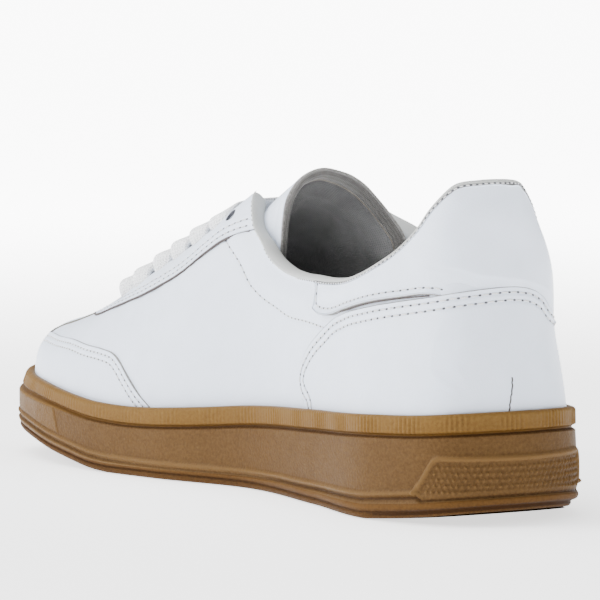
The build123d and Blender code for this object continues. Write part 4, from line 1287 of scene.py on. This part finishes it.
def make_tongue_pad(points, normals, rim):
    """The padded textile back of the tongue: it swells between the root and the edge seam."""
    near = distances(points, rim)
    depth = TONGUE_RIM_THICKNESS + (TONGUE_THICKNESS - TONGUE_RIM_THICKNESS) * np.clip(near / 12, 0, 1)
    across = np.abs(np.linspace(-1, 1, points.shape[1]))[None, :]
    swell = 1.5 * (1 - across**3) * np.clip((near - TONGUE_SEAM) / 14, 0, 1) ** 0.6
    dent = 0.8 * np.exp(-(((near - TONGUE_SEAM) / 1.1) ** 2))
    soft = 0.25 * ripples(points, 24, 61)
    inner = points - normals * (depth + swell - dent + soft)[..., None]
    core = points - normals * 1.1
    rows, columns = points.shape[:2]
    verts = np.vstack([core.reshape(-1, 3), inner.reshape(-1, 3)])
    faces = grid_faces(rows, columns) + [f[::-1] for f in grid_faces(rows, columns, rows * columns)]
    ri, rj = border(rows, columns)
    loop = ri * columns + rj
    ahead, below = np.roll(loop, -1), rows * columns
    faces += np.stack([loop, loop + below, ahead + below, ahead], -1).tolist()
    along = arc_lengths(points[:, columns // 2])
    wide = arc_lengths(points[rows // 2])
    uv = np.stack(np.meshgrid(along, wide, indexing="ij"), -1).reshape(-1, 2) * MM
    pad = turn_outwards(new_object("tongue_pad", verts, faces, LINING_MATERIAL, np.vstack([uv, uv])))
    place(pad, "grey_lining", "tongue_lining", "tongue_foam", body="tongue")


def make_tongue_band(line, normals, behind):
    """The rolled knit band round the tongue's top, with a pale seam thread along it."""
    sideways, _ = line_frame(line, normals)
    up = sideways * np.sign(((line - behind) * sideways).sum(1).mean())
    depth = TONGUE_RIM_THICKNESS
    nose = [(0.0, -0.9), (0.45, -1.3), (0.5, -depth), (0.2, -depth - 0.5), (-0.8, -depth - 0.75)]
    leg = [(-2.0, -depth - 0.95), (-3.0, -depth - 1.0), (-3.6, -depth - 0.8), (-3.8, -depth - 0.3)]
    profile = np.repeat(np.array(nose + leg + [(-2.5, -depth + 0.4), (-1.0, -1.0)])[None], len(line), 0)
    shown = smooth([(0, 0.3), (0.22, 0.35), (0.4, 1), (1, 1)], np.linspace(0, 1, len(line)))
    profile[..., 0] *= np.where(profile[..., 0] < 0, shown, 1)
    roll = band("tongue_band_roll", line, normals, up, profile, BAND_MATERIAL)
    place(roll, "tongue_binding", "tongue_edge_binding", body="tongue")
    thread = line + up * -3.95 * shown - normals * (depth + 0.75)
    cord = band("tongue_seam_thread", thread, normals, up, oval(0.5, 0.5, 10, 2), SEAM_THREAD)
    place(cord, "tongue_binding", body="tongue")


# ---------------------------------------------------------------------------
# Lace: flat, 8 mm wide, straight across six pairs of eyelets
# ---------------------------------------------------------------------------
LACE_WIDTH = 8.0
LACE_SPREAD = 1.9  # how much wider a bar is where it lies flat over the throat
LACE_GATHERED = 4.2  # what is left of LACE_WIDTH where a bar goes into an eyelet
LACE_THICKNESS = 1.9
BAR_RISE, BAR_CROWN = 2.0, 1.5  # a bar's height over the throat's edges, and how much more in its middle
BAR_DIVE = 6.5  # how deep its ends go down into the eyelets
TOP_BAR_DROP = 1.6  # the uppermost bar lies lower than the others
BAR_TWIST = 0.5  # how much its ends turn, in radians
LACED_STATIONS = EYELET_STATIONS[:-1]
# The run under the bars: stations and offsets from the throat's middle.
DIAGONAL = [(-17.5, 13.5), (-30, 6), (-58, -11)]


def make_lace():
    """The bars over the throat, each from eyelet to eyelet, and the run under them."""
    draw = np.random.default_rng(17)
    holes = eyelet_spots(1)[0], eyelet_spots(-1)[0]
    for k, station in enumerate(LACED_STATIONS):
        offsets = np.linspace(-1, 1, 61)
        lean = draw.uniform(-1.0, 1.0)
        inside = np.abs(offsets) * (EYELET_OFFSET + 1.2)
        rise = BAR_RISE + BAR_CROWN * np.cos(offsets * math.pi / 2) + draw.uniform(0, 0.5)
        if station == LACED_STATIONS[-1]:
            rise = rise - TOP_BAR_DROP
        dive = np.clip((inside - EYELET_OFFSET + 3.2) / 4.0, 0, 1)
        rise = rise - BAR_DIVE * dive**2
        reach = np.sign(offsets) * np.minimum(inside, EYELET_OFFSET + 0.3)
        ends = holes[0][k], holes[1][k]
        line, normals = bar_line(station, reach / EYELET_OFFSET, lean * offsets, *ends)
        line = line + normals * rise[:, None]
        sideways, tangents = line_frame(line, normals)
        facing = np.cross(tangents, sideways)
        facing /= np.linalg.norm(facing, axis=1, keepdims=True)
        facing *= np.sign((facing * normals).sum(1, keepdims=True))
        gathered = (LACE_WIDTH - LACE_GATHERED) * np.clip((inside - 12.5) / 5, 0, 1) ** 1.6
        width = LACE_WIDTH + LACE_SPREAD - gathered
        thick = LACE_THICKNESS + 1.0 * np.clip((inside - 10) / 7.5, 0, 1)
        arch = [section(w, t) for w, t in zip(width, thick)]
        twist = BAR_TWIST * np.clip((inside - 9) / 9, 0, 1) * np.sign(offsets)
        c, s = np.cos(twist)[:, None], np.sin(twist)[:, None]
        up, across = facing * c + sideways * s, sideways * c - facing * s
        bar = band(f"lace_bar_{k}", line, up, across, arch, LACE_MATERIAL)
        place(bar, "lace_textile", *(["lace"] if k == 0 else []))
    runs = [(-15.5, 19), *DIAGONAL, (LACED_STATIONS[0], -EYELET_OFFSET)]
    line, normals = snap(resample([ridge_point(y, x) for y, x in runs], 120))
    line = line - normals * 4.9
    sideways, _ = line_frame(line, normals)
    place(band("lace_run_under", line, normals, sideways, section(6.5, 1.2), LACE_MATERIAL), "lace_textile")


def section(width, thickness):
    """A flat lace's section: rounded edges and a slightly crowned face."""
    shape = oval(width, thickness, 18, 3.6)
    shape[:, 1] += 0.25 * (1 - (shape[:, 0] / (width / 2)) ** 2)
    return shape


def ridge_point(station, offset):
    """A point at an offset from the throat's middle, at the height of the middle."""
    return ridge_line(offset, [station])[0]


def bar_line(station, shares, lean, medial, lateral):
    """Points and normals straight across the throat, from the lateral eyelet to the medial one."""
    share = np.abs(shares)[:, None]
    ends = np.where(shares[:, None] > 0, medial, lateral)
    spots = np.array(ridge_point(station, 0)) * (1 - share) + ends * share
    spots[:, 1] += lean * (1 - share[:, 0] ** 2)
    return snap(spots)


# ---------------------------------------------------------------------------
# Camera, floor and light
# ---------------------------------------------------------------------------
CAMERA_AT = (778.8, 1286.3, 173.9)
CAMERA_AZIMUTH, CAMERA_ELEVATION = 148.799, 4.385
LENS = 277.7
FLOOR_HALF, FLOOR_Z = 40000, -0.05


def make_camera():
    """The camera, which looks along its azimuth and elevation from where it stands."""
    data = bpy.data.cameras.new("camera")
    data.lens, data.sensor_width, data.clip_end = LENS, 36, 20
    camera = bpy.data.objects.new("camera", data)
    bpy.context.scene.collection.objects.link(camera)
    azimuth, elevation = math.radians(CAMERA_AZIMUTH), math.radians(CAMERA_ELEVATION)
    level = math.cos(elevation)
    back = Vector((math.sin(azimuth) * level, -math.cos(azimuth) * level, math.sin(elevation)))
    camera.location = Vector(CAMERA_AT) * MM
    camera.rotation_euler = (-back).to_track_quat("-Z", "Y").to_euler()
    bpy.context.scene.camera = camera


def make_light(name, location, size, power):
    """A round soft light that points at the middle of the shoe."""
    data = bpy.data.lights.new(name, "AREA")
    data.energy, data.size, data.shape = power, size, "DISK"
    lamp = bpy.data.objects.new(name, data)
    lamp.location = location
    lamp.rotation_euler = (Vector((0, 0, 0.04)) - Vector(location)).to_track_quat("-Z", "Y").to_euler()
    bpy.context.scene.collection.objects.link(lamp)


def make_stage():
    """A pale floor that glows more and more away from the shoe, as a lit studio sweep does."""
    nodes = Nodes("floor", (0.93, 0.93, 0.93), 0.9)
    nodes.color(nodes.noise(300, 2), (0.92, 0.92, 0.92), (0.94, 0.94, 0.94))
    away = nodes.add("ShaderNodeVectorMath", Vector=nodes.place)
    away.operation = "LENGTH"
    glow = nodes.add("ShaderNodeMapRange", Value=away.outputs["Value"])
    glow.interpolation_type = "SMOOTHSTEP"
    for socket, value in (("From Min", 0.2), ("From Max", 1.6), ("To Min", 1.5), ("To Max", 9.0)):
        glow.inputs[socket].default_value = value
    nodes.set("Emission Color", (1, 1, 1, 1))
    nodes.plug(nodes.shader.inputs["Emission Strength"], glow.outputs[0])
    corners = [(x * FLOOR_HALF, y * FLOOR_HALF, FLOOR_Z) for x, y in ((-1, -1), (1, -1), (1, 1), (-1, 1))]
    floor = new_object("floor", corners, [(0, 1, 2, 3)], nodes.material)
    world = bpy.data.worlds.new("studio")
    world.use_nodes = True
    world.node_tree.nodes["Background"].inputs["Color"].default_value = (1, 1, 1, 1)
    world.node_tree.nodes["Background"].inputs["Strength"].default_value = 1.0
    bpy.context.scene.world = world
    make_light("key", (0.3, -0.5, 1.6), 1.6, 32)
    make_light("side", (1.7, -0.8, 0.9), 1.2, 50)
    make_light("front", (1.5, 1.3, 0.7), 1.2, 2)


carried_over()
make_cupsole()
make_side_panels()
make_toe()
make_eyestays()
make_heel()
make_binding()
make_linings()
make_tongue()
make_lace()
make_camera()
make_stage()
